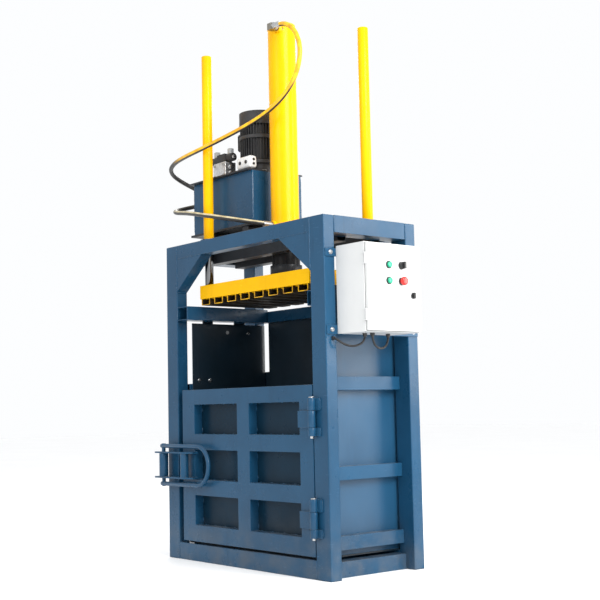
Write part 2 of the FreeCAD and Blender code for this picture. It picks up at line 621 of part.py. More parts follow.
def bolt(radius, x, y, seat_z, length):
    """A hexagon-head bolt that hangs down from its seat."""
    across = radius * BOLT_HEAD_CORNER_RATIO
    corners = [(x + across * math.cos(math.radians(60 * k)), y + across * math.sin(math.radians(60 * k)))
               for k in range(6)]
    head = prism_z(corners, seat_z, seat_z + radius * BOLT_HEAD_HEIGHT_RATIO)
    return fuse([head, bar(radius, x, y, seat_z - length, length)])


def build_guides():
    (left_x, left_y), (right_x, right_y) = GUIDES
    beam_front = RAM_Y - CROSS_BEAM_OFFSET - CROSS_BEAM_WIDTH / 2
    beam_rear = RAM_Y + CROSS_BEAM_OFFSET + CROSS_BEAM_WIDTH / 2
    plate_base = FRAME_HEIGHT - COLLAR_PLATE
    corner_plates = (block(INNER_LEFT, left_x + COLLAR_PLATE_MARGIN, POST_DEPTH, beam_front,
                           plate_base, FRAME_HEIGHT),
                     block(right_x - COLLAR_PLATE_MARGIN, INNER_RIGHT, beam_rear, REAR_POST_FRONT,
                           plate_base, FRAME_HEIGHT))
    collars, sleeves = [], []
    for (x, y), plate in zip(GUIDES, corner_plates):
        boss = bar(COLLAR_RADIUS, x, y, FRAME_HEIGHT, COLLAR_HEIGHT)
        bore = bar(GUIDE_ROD_RADIUS + RUNNING_CLEARANCE, x, y, plate_base, COLLAR_TOP - plate_base)
        collars.append(fuse([plate, boss]).cut(bore))
        outer = bar(SLEEVE_RADIUS, x, y, COLLAR_TOP, SLEEVE_TOP - COLLAR_TOP)
        outer = outer.makeChamfer(SLEEVE_CHAMFER, [outer.Edges[0]])
        sleeves.append(outer.cut(bar(SLEEVE_BORE, x, y, COLLAR_TOP, SLEEVE_TOP - SLEEVE_CAP - COLLAR_TOP)))
    save("guide_collars", *collars)
    save("guide_sleeves", *sleeves)


# ------------------------------------------------------------------ power pack
def build_tank():
    shell = block(TANK_LEFT, TANK_RIGHT, TANK_FRONT, TANK_REAR, TANK_BASE, TANK_TOP)
    corners = [edge for edge in shell.Edges if edge.BoundBox.ZLength > TINY]
    shell = shell.makeFillet(TANK_CORNER, corners)
    hollow = block(TANK_LEFT + TANK_SHEET, TANK_RIGHT - TANK_SHEET, TANK_FRONT + TANK_SHEET,
                   TANK_REAR - TANK_SHEET, TANK_BASE + TANK_SHEET, TANK_TOP)
    save("oil_tank", shell.cut(hollow))
    tray_base = TANK_BASE - TRAY_THICK
    tray = block(TANK_LEFT - TRAY_LIP, TANK_RIGHT + TRAY_LIP, TANK_FRONT - TRAY_LIP / 2,
                 TANK_REAR + TRAY_LIP / 2, tray_base, TANK_BASE)
    feet = [block(x, x + TANK_FOOT_WIDTH, TANK_FRONT, TANK_REAR, FRAME_HEIGHT, tray_base)
            for x in TANK_FEET_X]
    save("tank_stand", fuse([tray] + feet))
    lid = block(TANK_LEFT, TANK_RIGHT, LID_FRONT, TANK_REAR + TRAY_LIP / 2, TANK_TOP, LID_TOP)
    pump_hole = PUMP_RADIUS + PUMP_HANGER_WALL + BOLT_CLEARANCE
    lid = lid.cut(bar(pump_hole, MOTOR_X, MOTOR_Y, TANK_TOP, LID_THICK))
    neck = bar(NECK_RADIUS, FILLER_X, FILLER_Y, LID_TOP, NECK_HEIGHT)
    opening = bar(NECK_RADIUS - TANK_SHEET, FILLER_X, FILLER_Y, TANK_TOP, LID_THICK + NECK_HEIGHT)
    save("tank_lid", fuse([lid, neck]).cut(opening))
    cap = bar(CAP_RADIUS, FILLER_X, FILLER_Y, LID_TOP + NECK_HEIGHT + CAP_GAP, CAP_HEIGHT)
    save("filler_cap", cap.makeChamfer(CAP_CHAMFER, [cap.Edges[0]]))


def spokes(count, inner, outer, thick, z0, z1):
    """Flat radial pieces, evenly spaced round the motor's axis."""
    turned = []
    for index in range(count):
        spoke = block(MOTOR_X + inner, MOTOR_X + outer, MOTOR_Y - thick / 2, MOTOR_Y + thick / 2, z0, z1)
        spoke.rotate(Vector(MOTOR_X, MOTOR_Y, 0), UP, 360.0 * index / count)
        turned.append(spoke)
    return turned


def build_motor():
    base = LID_TOP + MOTOR_FLANGE_THICK
    bearing = SHAFT_RADIUS + HINGE_CLEARANCE
    body_height = MOTOR_BODY_TOP - base
    save("motor_bell_housing", ring(MOTOR_RADIUS, PUMP_RADIUS, MOTOR_X, MOTOR_Y, LID_TOP, MOTOR_FLANGE_THICK))
    parts = [bar(MOTOR_RADIUS, MOTOR_X, MOTOR_Y, base, body_height),
             block(MOTOR_X - MOTOR_FIN_RADIUS - TERMINAL_BOX_PROUD, MOTOR_X - MOTOR_RADIUS + MOTOR_END_CAP,
                   MOTOR_Y - TERMINAL_BOX_HALF_WIDTH, MOTOR_Y + TERMINAL_BOX_HALF_WIDTH, *TERMINAL_BOX_SPAN)]
    parts += spokes(MOTOR_FIN_COUNT, MOTOR_RADIUS - MOTOR_FIN_ROOT, MOTOR_FIN_RADIUS, MOTOR_FIN_THICK,
                    base + MOTOR_FIN_BASE_GAP, MOTOR_BODY_TOP - MOTOR_END_CAP)
    body = fuse(parts).cut(bar(ROTOR_SPACE_RADIUS, MOTOR_X, MOTOR_Y, base + MOTOR_END_CAP,
                               body_height - 2 * MOTOR_END_CAP))
    save("motor_body", body.cut(bar(bearing, MOTOR_X, MOTOR_Y, base, body_height)))
    cowl_base = MOTOR_BODY_TOP - MOTOR_END_CAP
    cowl_inner = COWL_RADIUS - COWL_SHEET
    cowl = ring(COWL_RADIUS, cowl_inner, MOTOR_X, MOTOR_Y, cowl_base, COWL_TOP - cowl_base)
    top = bar(COWL_RADIUS, MOTOR_X, MOTOR_Y, COWL_TOP - COWL_SHEET, COWL_SHEET)
    for slot in spokes(COWL_SLOT_COUNT, *COWL_SLOT_RADII, COWL_SLOT_WIDTH, COWL_TOP - COWL_SHEET, COWL_TOP):
        top = top.cut(slot)
    holder = ring(cowl_inner, MOTOR_FIN_RADIUS - MOTOR_FIN_ROOT, MOTOR_X, MOTOR_Y, cowl_base,
                  COWL_HOLDER_HEIGHT)
    save("fan_cowl", fuse([cowl, top, holder]))
    shaft_base = LID_TOP - SHAFT_TAIL
    shaft = bar(SHAFT_RADIUS, MOTOR_X, MOTOR_Y, shaft_base, COWL_TOP - SHAFT_TOP_GAP - shaft_base)
    rotor_gap = MOTOR_END_CAP + ROTOR_END_GAP
    rotor = bar(ROTOR_RADIUS, MOTOR_X, MOTOR_Y, base + rotor_gap, body_height - 2 * rotor_gap)
    save("motor_rotor", fuse([shaft, rotor]))
    fan_base = MOTOR_BODY_TOP + FAN_CLEARANCE
    fan = ring(FAN_HUB_RADIUS, SHAFT_RADIUS, MOTOR_X, MOTOR_Y, fan_base, FAN_HEIGHT)
    blades = spokes(FAN_BLADES, FAN_HUB_RADIUS - MOTOR_FIN_ROOT, FAN_RADIUS, FAN_BLADE_THICK,
                    fan_base, fan_base + FAN_HEIGHT)
    save("cooling_fan", fuse([fan] + blades))
    pump_top = shaft_base - PUMP_SHAFT_GAP
    pump = bar(PUMP_RADIUS, MOTOR_X, MOTOR_Y, pump_top - PUMP_LENGTH, PUMP_LENGTH)
    hanger = ring(PUMP_RADIUS + PUMP_HANGER_WALL, PUMP_RADIUS - PUMP_HANGER_WALL, MOTOR_X, MOTOR_Y,
                  pump_top, LID_TOP - pump_top)
    save("oil_pump", fuse([pump, hanger]))


def build_valve():
    length, depth, height = MANIFOLD_SIZE
    top = LID_TOP + height
    save("valve_manifold", block(VALVE_X, VALVE_X + length, VALVE_Y, VALVE_Y + depth, LID_TOP, top))
    middle_x = VALVE_X + length / 2
    middle_y = VALVE_Y + depth / 2
    half_x, half_y, body_height = VALVE_BODY_SIZE[0] / 2, VALVE_BODY_SIZE[1] / 2, VALVE_BODY_SIZE[2]
    body = block(middle_x - half_x, middle_x + half_x, middle_y - half_y, middle_y + half_y,
                 top, top + body_height)
    coil_z = top + body_height / 2
    left_coil, right_coil = COIL_LENGTHS
    coils = [bar(COIL_RADIUS, middle_x - half_x, middle_y, coil_z, left_coil, LEFT),
             bar(COIL_RADIUS, middle_x + half_x, middle_y, coil_z, right_coil, RIGHT)]
    save("solenoid_valve", fuse([body] + coils))


# ------------------------------------------------------------------ hoses and cables
HOSE_A_ROUTE = ((82, -88, 2732), (140, -90, 2726), (198, -94, 2700), (253, -97, 2648), (285, -98, 2572),
                (279, -99, 2488), (238, -103, 2404), (165, -115, 2332), (65, -135, 2275),
                (-55, -163, 2232), (-185, -195, 2198), (-310, -219, 2172), (-425, -231, 2155),
                (-540, -227, 2147), (-655, -207, 2144), (-745, -181, 2141), (-823, -151, 2130),
                (-873, -103, 2110), (-886, -45, 2086), (-859, 7, 2054), (-807, 37, 2020),
                (-753, 45, 1986), (-703, 45, 1986))
HOSE_B_ROUTE = ((-703, 40, 1938), (-753, 40, 1938), (-807, 21, 1934), (-841, -25, 1922),
                (-845, -81, 1906), (-815, -129, 1888), (-761, -157, 1872), (-685, -175, 1858),
                (-595, -197, 1842), (-495, -219, 1822), (-390, -229, 1798), (-285, -231, 1776),
                (-203, -229, 1757), (-133, -217, 1741), (-75, -193, 1727), (-40, -172, 1718),
                (-10, -135, 1711), (-3, -86, 1708))
CABLE_A_ROUTE = ((667, -251, 1082), (683, -245, 1072), (699, -223, 1052), (719, -189, 1042),
                 (737, -159, 1050), (744, -141, 1068), (745, -136, 1086))
CABLE_B_ROUTE = ((775, -117, 1086), (774, -113, 1064), (769, -91, 1040), (761, -55, 1031),
                 (753, -19, 1040), (746, 5, 1064), (745, 9, 1086))


def route_tube(node, points, radius):
    """Straight runs joined by tangent arcs, as large as the two runs beside each point allow."""
    corners = [Vector(*point) for point in points]
    edges, radii = [], []
    start = corners[0]
    for before, corner, after in zip(corners, corners[1:], corners[2:]):
        way_in = (corner - before).normalize()
        way_out = (after - corner).normalize()
        turn = way_in.getAngle(way_out)
        cut = BEND_SHARE * min((corner - before).Length, (after - corner).Length)
        bend = cut / math.tan(turn / 2)
        radii.append(bend)
        arc_start = corner - way_in * cut
        arc_end = corner + way_out * cut
        inward = (way_out - way_in).normalize()
        middle = corner + inward * (math.hypot(bend, cut) - bend)
        edges.append(Part.LineSegment(start, arc_start).toShape())
        edges.append(Part.Arc(arc_start, middle, arc_end).toShape())
        start = arc_end
    edges.append(Part.LineSegment(start, corners[-1]).toShape())
    path = Part.Wire(edges)
    first = (corners[1] - corners[0]).normalize()
    section = Part.Wire([Part.Circle(corners[0], first, radius).toShape()])
    tube = path.makePipeShell([section], True, False)
    expected = math.pi * radius * radius * path.Length
    print("%s length %.0f tightest %.0f volume ratio %.4f" % (node, path.Length, min(radii),
                                                              tube.Volume / expected))
    tube.exportStep("parts/%s.step" % node)
    tube.translate(TO_ORIGIN * -1)
    return tube


def drawn(point):
    """A route's point, in the coordinates that the other pieces are drawn in."""
    return Vector(*point) - TO_ORIGIN


def seated(piece, tubes):
    """The piece without the room that the tubes' ends take, so that they meet it face to face."""
    for tube in tubes:
        piece = piece.cut(tube)
    return piece


def build_hoses():
    hoses = (route_tube("pressure_hose", HOSE_A_ROUTE, HOSE_RADIUS),
             route_tube("return_hose", HOSE_B_ROUTE, HOSE_RADIUS))
    upper = drawn(HOSE_A_ROUTE[0])
    lower = drawn(HOSE_B_ROUTE[-1])
    half = ELBOW_BLOCK / 2
    elbow_x = RAM_X + ELBOW_OFFSET
    elbow = fuse([block(elbow_x - half, elbow_x + half, upper.y - half, upper.y + half, upper.z - half,
                        upper.z + half),
                  bar(FITTING_RADIUS, elbow_x, upper.y, upper.z, RAM_Y - upper.y, BACK),
                  bar(FITTING_RADIUS, elbow_x, upper.y, upper.z, upper.x - elbow_x, RIGHT)])
    straight = bar(FITTING_RADIUS, lower.x, lower.y, lower.z, RAM_Y - lower.y, BACK)
    barrel = bar(BARREL_RADIUS, RAM_X, RAM_Y, BARREL_BASE, BARREL_TOP - BARREL_BASE)
    fittings = [elbow.cut(barrel), straight.cut(barrel)]
    for end in (drawn(HOSE_A_ROUTE[-1]), drawn(HOSE_B_ROUTE[0])):
        fittings.append(bar(FITTING_RADIUS, end.x, end.y, end.z, TANK_LEFT - end.x, RIGHT))
    save("hose_fittings", *[seated(fitting, hoses) for fitting in fittings])


def build_cables():
    cables = (route_tube("cabinet_cable_front", CABLE_A_ROUTE, CABLE_RADIUS),
              route_tube("cabinet_cable_rear", CABLE_B_ROUTE, CABLE_RADIUS))
    side = drawn(CABLE_A_ROUTE[0])
    glands = [bar(GLAND_NUT_RADIUS, FRAME_WIDTH, side.y, side.z, side.x - FRAME_WIDTH, RIGHT)]
    for end in (drawn(CABLE_A_ROUTE[-1]), drawn(CABLE_B_ROUTE[0]), drawn(CABLE_B_ROUTE[-1])):
        glands.append(bar(GLAND_NUT_RADIUS, end.x, end.y, end.z, CABINET_BASE - end.z))
    save("cable_glands", *[seated(gland, cables) for gland in glands])


# ------------------------------------------------------------------ control cabinet
def cabinet_hinge_pin(base):
    """The case's half of a door hinge: a pin held between two lugs."""
    length = CABINET_HINGE_LENGTH
    thick = CABINET_HINGE_LUG_THICK
    low = base - CABINET_HINGE_GAP - thick
    high = base + length + CABINET_HINGE_GAP
    parts = [bar(CABINET_HINGE_PIN_RADIUS, CABINET_HINGE_X, CABINET_HINGE_Y, low, high + thick - low)]
    for z in (low, high):
        parts.append(bar(CABINET_HINGE_LUG_RADIUS, CABINET_HINGE_X, CABINET_HINGE_Y, z, thick))
        parts.append(block(CABINET_FACE - CABINET_HINGE_ARM, CABINET_HINGE_X,
                           CABINET_HINGE_Y - CABINET_HINGE_LUG_RADIUS, CABINET_FRONT, z, z + thick))
    return fuse(parts)


def build_cabinet():
    straps = [block(FRAME_WIDTH, CABINET_BACK, STRAP_END_GAP, FRAME_DEPTH - STRAP_END_GAP, z0, z1)
              for z0, z1 in STRAP_SPANS]
    save("cabinet_straps", *straps)
    case = block(CABINET_BACK, CABINET_FACE, CABINET_FRONT, CABINET_REAR, CABINET_BASE, CABINET_TOP)
    inner = block(CABINET_BACK + CABINET_SHEET, CABINET_FACE, CABINET_FRONT + CABINET_SHEET,
                  CABINET_REAR - CABINET_SHEET, CABINET_BASE + CABINET_SHEET, CABINET_TOP - CABINET_SHEET)
    save("cabinet_case", fuse([case.cut(inner)] + [cabinet_hinge_pin(z) for z in CABINET_HINGE_BASES]))
    plate_back = CABINET_BACK + CABINET_SHEET
    plate_face = plate_back + GEAR_PLATE_THICK
    margin_y, margin_z = GEAR_PLATE_MARGIN
    gear = [block(plate_back, plate_face, CABINET_FRONT + margin_y, CABINET_REAR - margin_y,
                  CABINET_BASE + margin_z, CABINET_TOP - margin_z)]
    depth, width, height = BREAKER_SIZE
    start = CABINET_FRONT + BREAKER_START
    top = CABINET_TOP - BREAKER_DROP
    for column in range(BREAKER_COUNT):
        y0 = start + column * BREAKER_PITCH
        gear.append(block(plate_face, plate_face + depth, y0, y0 + width, top - height, top))
    depth, width, height = TERMINALS_SIZE
    base = CABINET_BASE + TERMINALS_RISE
    gear.append(block(plate_face, plate_face + depth, start, start + width, base, base + height))
    save("cabinet_switchgear", fuse(gear))
    build_cabinet_door()


def build_cabinet_door():
    x0 = CABINET_FACE + CABINET_DOOR_GAP
    x1 = CABINET_DOOR_FACE
    y0 = CABINET_FRONT + CABINET_DOOR_MARGIN
    y1 = CABINET_REAR - CABINET_DOOR_MARGIN
    z0 = CABINET_BASE + CABINET_DOOR_MARGIN
    z1 = CABINET_TOP - CABINET_DOOR_MARGIN
    door = block(x0, x1, y0, y1, z0, z1)
    door = door.cut(block(x0, x1 - CABINET_SHEET, y0 + CABINET_SHEET, y1 - CABINET_SHEET, z0 + CABINET_SHEET,
                          z1 - CABINET_SHEET))
    places = [(y, z) for z in BUTTON_ROWS for y in BUTTON_COLUMNS]
    bezels = []
    for y, z in places:
        door = door.cut(bar(BUTTON_RADIUS + BUTTON_CLEARANCE, x0, y, z, x1 - x0, RIGHT))
        bezels.append(ring(BEZEL_RADIUS, BUTTON_RADIUS + BUTTON_CLEARANCE, x1, y, z, BEZEL_DEPTH, RIGHT))
    door = door.cut(bar(LOCK_RADIUS + BUTTON_CLEARANCE, x0, LOCK_Y, LOCK_Z, x1 - x0, RIGHT))
    for base in CABINET_HINGE_BASES:
        barrel = bar(CABINET_HINGE_RADIUS, CABINET_HINGE_X, CABINET_HINGE_Y, base, CABINET_HINGE_LENGTH)
        bore = bar(CABINET_HINGE_PIN_RADIUS + HINGE_CLEARANCE, CABINET_HINGE_X, CABINET_HINGE_Y, base,
                   CABINET_HINGE_LENGTH)
        door = fuse([door, barrel]).cut(bore)
    save("cabinet_door", door)
    save("button_bezels", *bezels)
    (low, high), (near, far) = BUTTON_ROWS, BUTTON_COLUMNS
    face = x1 + BEZEL_DEPTH
    stem_base = x1 - CABINET_SHEET - STEM_DEPTH
    for node, y, z in (("green_button_upper", near, high), ("green_button_lower", near, low)):
        button = bar(BUTTON_RADIUS, stem_base, y, z, face + BUTTON_PROUD - stem_base, RIGHT)
        save(node, button)
    knob_base = face + KNOB_LIFT
    stem = bar(BUTTON_RADIUS, stem_base, far, high, knob_base - stem_base, RIGHT)
    knob = bar(KNOB_RADIUS, knob_base, far, high, KNOB_THICK, RIGHT)
    grip = block(knob_base, knob_base + GRIP_LENGTH, far - GRIP_HALF_WIDTH, far + GRIP_HALF_WIDTH,
                 high - KNOB_RADIUS, high + KNOB_RADIUS)
    save("selector_knob", fuse([stem, knob, grip]))
    head_base = face + ESTOP_STANDOFF
    stem = bar(BUTTON_RADIUS, stem_base, far, low, head_base - stem_base, RIGHT)
    head = bar(ESTOP_RADIUS, head_base, far, low, ESTOP_THICK, RIGHT)
    edge = max(head.Edges, key=lambda item: item.BoundBox.XMin)
    save("emergency_stop", fuse([stem, head.makeFillet(ESTOP_ROUNDING, [edge])]))
    wing_base = x1 + LOCK_PROUD
    length, half_width, half_height = LOCK_WING
    barrel = bar(LOCK_RADIUS, stem_base, LOCK_Y, LOCK_Z, wing_base - stem_base, RIGHT)
    wing = block(wing_base, wing_base + length, LOCK_Y - half_width, LOCK_Y + half_width,
                 LOCK_Z - half_height, LOCK_Z + half_height)
    save("cabinet_lock", fuse([barrel, wing]))


# ------------------------------------------------------------------ build everything
build_frame()
build_chamber()
build_door()
build_hinges()
build_latch()
build_platen()
build_cylinder()
build_guides()
build_tank()
build_motor()
build_valve()
build_hoses()
build_cables()
build_cabinet()
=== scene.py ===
import math

import bmesh
import bpy
from mathutils import Matrix, Vector


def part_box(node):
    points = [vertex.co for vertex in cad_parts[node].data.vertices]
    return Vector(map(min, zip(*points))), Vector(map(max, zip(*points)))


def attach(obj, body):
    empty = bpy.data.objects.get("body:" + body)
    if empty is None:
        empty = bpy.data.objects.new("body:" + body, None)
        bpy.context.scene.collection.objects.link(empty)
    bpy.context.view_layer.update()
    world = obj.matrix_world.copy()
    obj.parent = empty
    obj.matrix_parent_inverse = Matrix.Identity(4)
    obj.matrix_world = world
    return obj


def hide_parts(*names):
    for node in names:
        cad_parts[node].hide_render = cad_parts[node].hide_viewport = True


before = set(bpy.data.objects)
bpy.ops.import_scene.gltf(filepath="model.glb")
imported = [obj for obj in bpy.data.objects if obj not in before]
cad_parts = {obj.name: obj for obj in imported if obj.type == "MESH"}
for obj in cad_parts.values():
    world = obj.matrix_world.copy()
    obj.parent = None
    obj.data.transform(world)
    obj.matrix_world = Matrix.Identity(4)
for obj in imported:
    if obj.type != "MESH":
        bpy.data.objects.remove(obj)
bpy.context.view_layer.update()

# A vertical hydraulic recycling baler, in metres. X is to the right, Y to the rear and Z up, from the
# middle of the frame's footprint on the floor.

# ------------------------------------------------------------------ camera
CAMERA_PLACE = Vector((4.55735, -3.6519, 0.7706))
CAMERA_AZIMUTH = math.radians(50.53)
CAMERA_TILT = math.radians(5.389)
CAMERA_ROLL = math.radians(-1.232)
CAMERA_LENS = 68.63
CAMERA_SENSOR = 36.0

# ------------------------------------------------------------------ finishes
BLUE = (0.010, 0.063, 0.133)
BLUE_DARK = (0.007, 0.047, 0.102)
# Painted shade: the back plate of the door's recesses is painted darker than the frame to stand in for
# the shade inside the recesses.
RECESS_SHADE_BLUE = (0.004, 0.022, 0.043)
# Painted shade: the chamber's sheets are painted near-black inside to stand in for the shade in the
# chamber.
CHAMBER_SHADE_BLUE = (0.007, 0.020, 0.034)
YELLOW = (0.88, 0.47, 0.001)
YELLOW_DARK = (0.82, 0.40, 0.001)
AMBER = (0.86, 0.48, 0.001)
AMBER_DARK = (0.72, 0.38, 0.002)
SHADOW_BLACK = (0.010, 0.010, 0.011)
DUST = (0.30, 0.28, 0.25)
STEEL = (0.52, 0.53, 0.54)
WHITE = (0.60, 0.61, 0.61)
BLACK = (0.018, 0.018, 0.02)
CABINET_SHADE = (0.56, 0.57, 0.575)
GROUND_SPLASH = (0.13, 0.125, 0.115)
CHIPPED_PRIMER = (0.17, 0.13, 0.10)
RUST_STAIN = (0.20, 0.15, 0.10)
RUBBED_STEEL = (0.06, 0.065, 0.07)
# Painted shade: the channels under the platen are painted near-black along their length in place of the
# shade there.
CHANNEL_SHADE = (0.030, 0.022, 0.012)
CHANNEL_SHADE_DARK = (0.012, 0.010, 0.008)
WORN_AMBER = (0.34, 0.17, 0.02)
YELLOW_RUN = (0.62, 0.33, 0.003)
YELLOW_CHIP = (0.22, 0.13, 0.03)
DARK_PAINT = (0.028, 0.032, 0.038)
DARK_PAINT_SHADE = (0.018, 0.02, 0.024)
MOTOR_BLACK = (0.022, 0.023, 0.026)
CAST_GREY = (0.10, 0.10, 0.105)
ALUMINIUM = (0.72, 0.73, 0.74)
# Painted reflection: the chrome is darkened to stand in for the dark chamber it reflects.
CHROME_DARKENED_REFLECTION = (0.16, 0.165, 0.17)
FITTING_STEEL = (0.30, 0.28, 0.24)
PALE_PLASTIC = (0.74, 0.75, 0.75)
GREY_PLASTIC = (0.36, 0.38, 0.39)
GREEN = (0.004, 0.36, 0.20)
RED = (0.62, 0.018, 0.014)
RUBBER = (0.022, 0.021, 0.020)
RUBBER_DARK = (0.012, 0.012, 0.012)
# The pressure hose shows its yellow wrap only on its lit top; its underside is painted black as shade.
PRESSURE_WRAP = (0.86, 0.50, 0.008)
PRESSURE_WRAP_DARK = (0.62, 0.30, 0.010)
# Painted highlight: the cream on top of the return hose stands in for light on its black rubber.
RETURN_PAINTED_HIGHLIGHT = (0.62, 0.54, 0.34)
RETURN_PAINTED_HIGHLIGHT_DARK = (0.40, 0.33, 0.18)
CABLE_BLACK = (0.007, 0.007, 0.008)
FLOOR_PALE = (0.945, 0.945, 0.945)
FLOOR_SHADE = (0.925, 0.925, 0.925)

SPLASH_HEIGHT = 0.32
SPLASH_SHARE = 0.30
CHANNEL_FRONT_END = -0.2105
CHANNEL_REAR_END = 0.2415
# Painted shadow: below this height the barrel and sleeves are painted black in place of the shade under
# the frame's top.
BARREL_SHADOW_FROM = 1.665
BARREL_SHADOW_FADE = 0.010

BEVEL_WIDTH = 0.0016
BEVEL_ANGLE = math.radians(35)
SMOOTHING_ANGLE = math.radians(38)
WELD_STEP = 0.0022

# ------------------------------------------------------------------ routes of hoses and cables
HOSE_RADIUS = 0.012
CABLE_RADIUS = 0.005
PRESSURE_HOSE_ROUTE = (
    (0.082, -0.088, 2.732), (0.140, -0.090, 2.726), (0.198, -0.094, 2.700), (0.253, -0.097, 2.648),
    (0.285, -0.098, 2.572), (0.279, -0.099, 2.488), (0.238, -0.103, 2.404), (0.165, -0.115, 2.332),
    (0.065, -0.135, 2.275), (-0.055, -0.163, 2.232), (-0.185, -0.195, 2.198), (-0.310, -0.219, 2.172),
    (-0.425, -0.231, 2.155), (-0.540, -0.227, 2.147), (-0.655, -0.207, 2.144), (-0.745, -0.181, 2.141),
    (-0.823, -0.151, 2.130), (-0.873, -0.103, 2.110), (-0.886, -0.045, 2.086), (-0.859, 0.007, 2.054),
    (-0.807, 0.037, 2.020), (-0.753, 0.045, 1.986), (-0.703, 0.045, 1.986))
RETURN_HOSE_ROUTE = (
    (-0.703, 0.040, 1.938), (-0.753, 0.040, 1.938), (-0.807, 0.021, 1.934), (-0.841, -0.025, 1.922),
    (-0.845, -0.081, 1.906), (-0.815, -0.129, 1.888), (-0.761, -0.157, 1.872), (-0.685, -0.175, 1.858),
    (-0.595, -0.197, 1.842), (-0.495, -0.219, 1.822), (-0.390, -0.229, 1.798), (-0.285, -0.231, 1.776),
    (-0.203, -0.229, 1.757), (-0.133, -0.217, 1.741), (-0.075, -0.193, 1.727), (-0.040, -0.172, 1.718),
    (-0.010, -0.135, 1.711), (-0.003, -0.086, 1.708))
FRONT_CABLE_ROUTE = (
    (0.667, -0.251, 1.082), (0.683, -0.245, 1.072), (0.699, -0.223, 1.052), (0.719, -0.189, 1.042),
    (0.737, -0.159, 1.050), (0.744, -0.141, 1.068), (0.745, -0.136, 1.086))
REAR_CABLE_ROUTE = (
    (0.775, -0.117, 1.086), (0.774, -0.113, 1.064), (0.769, -0.091, 1.040), (0.761, -0.055, 1.031),
    (0.753, -0.019, 1.040), (0.746, 0.005, 1.064), (0.745, 0.009, 1.086))


# ------------------------------------------------------------------ material helpers
class Finish:
    """A material with its node tree, its shader and shared object coordinates."""

    def __init__(self, name):
        self.material = bpy.data.materials.new(name)
        self.material.use_nodes = True
        self.nodes = self.material.node_tree.nodes
        self.shader = self.nodes["Principled BSDF"]
        self.place = self.nodes.new("ShaderNodeTexCoord").outputs["Object"]

    def link(self, source, target):
        self.material.node_tree.links.new(source, target)

    def stretched(self, stretch):
        mapping = self.nodes.new("ShaderNodeMapping")
        mapping.inputs["Scale"].default_value = stretch
        self.link(self.place, mapping.inputs["Vector"])
        return mapping.outputs["Vector"]

    def noise(self, scale, detail=4.0, rough=0.55, stretch=None):
        node = self.nodes.new("ShaderNodeTexNoise")
        node.inputs["Scale"].default_value = scale
        node.inputs["Detail"].default_value = detail
        node.inputs["Roughness"].default_value = rough
        self.link(self.place if stretch is None else self.stretched(stretch), node.inputs["Vector"])
        return node.outputs["Fac"]

    def cells(self, scale, stretch=None):
        node = self.nodes.new("ShaderNodeTexVoronoi")
        node.inputs["Scale"].default_value = scale
        self.link(self.place if stretch is None else self.stretched(stretch), node.inputs["Vector"])
        return node.outputs["Distance"]

    def between(self, value, low, high, to_low=0.0, to_high=1.0):
        node = self.nodes.new("ShaderNodeMapRange")
        node.interpolation_type = "SMOOTHSTEP"
        node.inputs["From Min"].default_value = low
        node.inputs["From Max"].default_value = high
        node.inputs["To Min"].default_value = to_low
        node.inputs["To Max"].default_value = to_high
        self.link(value, node.inputs["Value"])
        return node.outputs["Result"]

    def times(self, first, second):
        node = self.nodes.new("ShaderNodeMath")
        node.operation = "MULTIPLY"
        for value, socket in zip((first, second), node.inputs):
            if isinstance(value, float):
                socket.default_value = value
            else:
                self.link(value, socket)
        return node.outputs[0]

    def mix(self, factor, first, second):
        node = self.nodes.new("ShaderNodeMix")
        node.data_type = "RGBA"
        self.link(factor, node.inputs["Factor"])
        for value, socket in ((first, node.inputs[6]), (second, node.inputs[7])):
            if isinstance(value, tuple):
                socket.default_value = (*value, 1.0)
            else:
                self.link(value, socket)
        return node.outputs[2]

    def part_of(self, source, axis):
        node = self.nodes.new("ShaderNodeSeparateXYZ")
        self.link(source, node.inputs[0])
        return node.outputs[axis]

    def upward(self):
        """How far the surface faces up, from 0 to 1."""
        normal = self.nodes.new("ShaderNodeNewGeometry").outputs["Normal"]
        return self.between(self.part_of(normal, "Z"), 0.35, 0.95)

    def away_from_axis(self):
        """Positive where the surface faces away from the baler's middle, negative where it faces in."""
        node = self.nodes.new("ShaderNodeVectorMath")
        node.operation = "DOT_PRODUCT"
        self.link(self.nodes.new("ShaderNodeNewGeometry").outputs["Normal"], node.inputs[0])
        level = self.stretched((1.0, 1.0, 0.0))
        self.link(level, node.inputs[1])
        return node.outputs["Value"]

    def bump(self, *layers):
        """Layers of (height, strength, distance), the coarsest first."""
        before = None
        for height, strength, distance in layers:
            node = self.nodes.new("ShaderNodeBump")
            node.inputs["Strength"].default_value = strength
            node.inputs["Distance"].default_value = distance
            self.link(height, node.inputs["Height"])
            if before is not None:
                self.link(before, node.inputs["Normal"])
            before = node.outputs["Normal"]
        self.link(before, self.shader.inputs["Normal"])

    def set(self, **values):
        for name, value in values.items():
            socket = self.shader.inputs[name.replace("_", " ")]
            if isinstance(value, (int, float)):
                socket.default_value = value
            elif isinstance(value, tuple):
                socket.default_value = (*value, 1.0)
            else:
                self.link(value, socket)
        return self.material


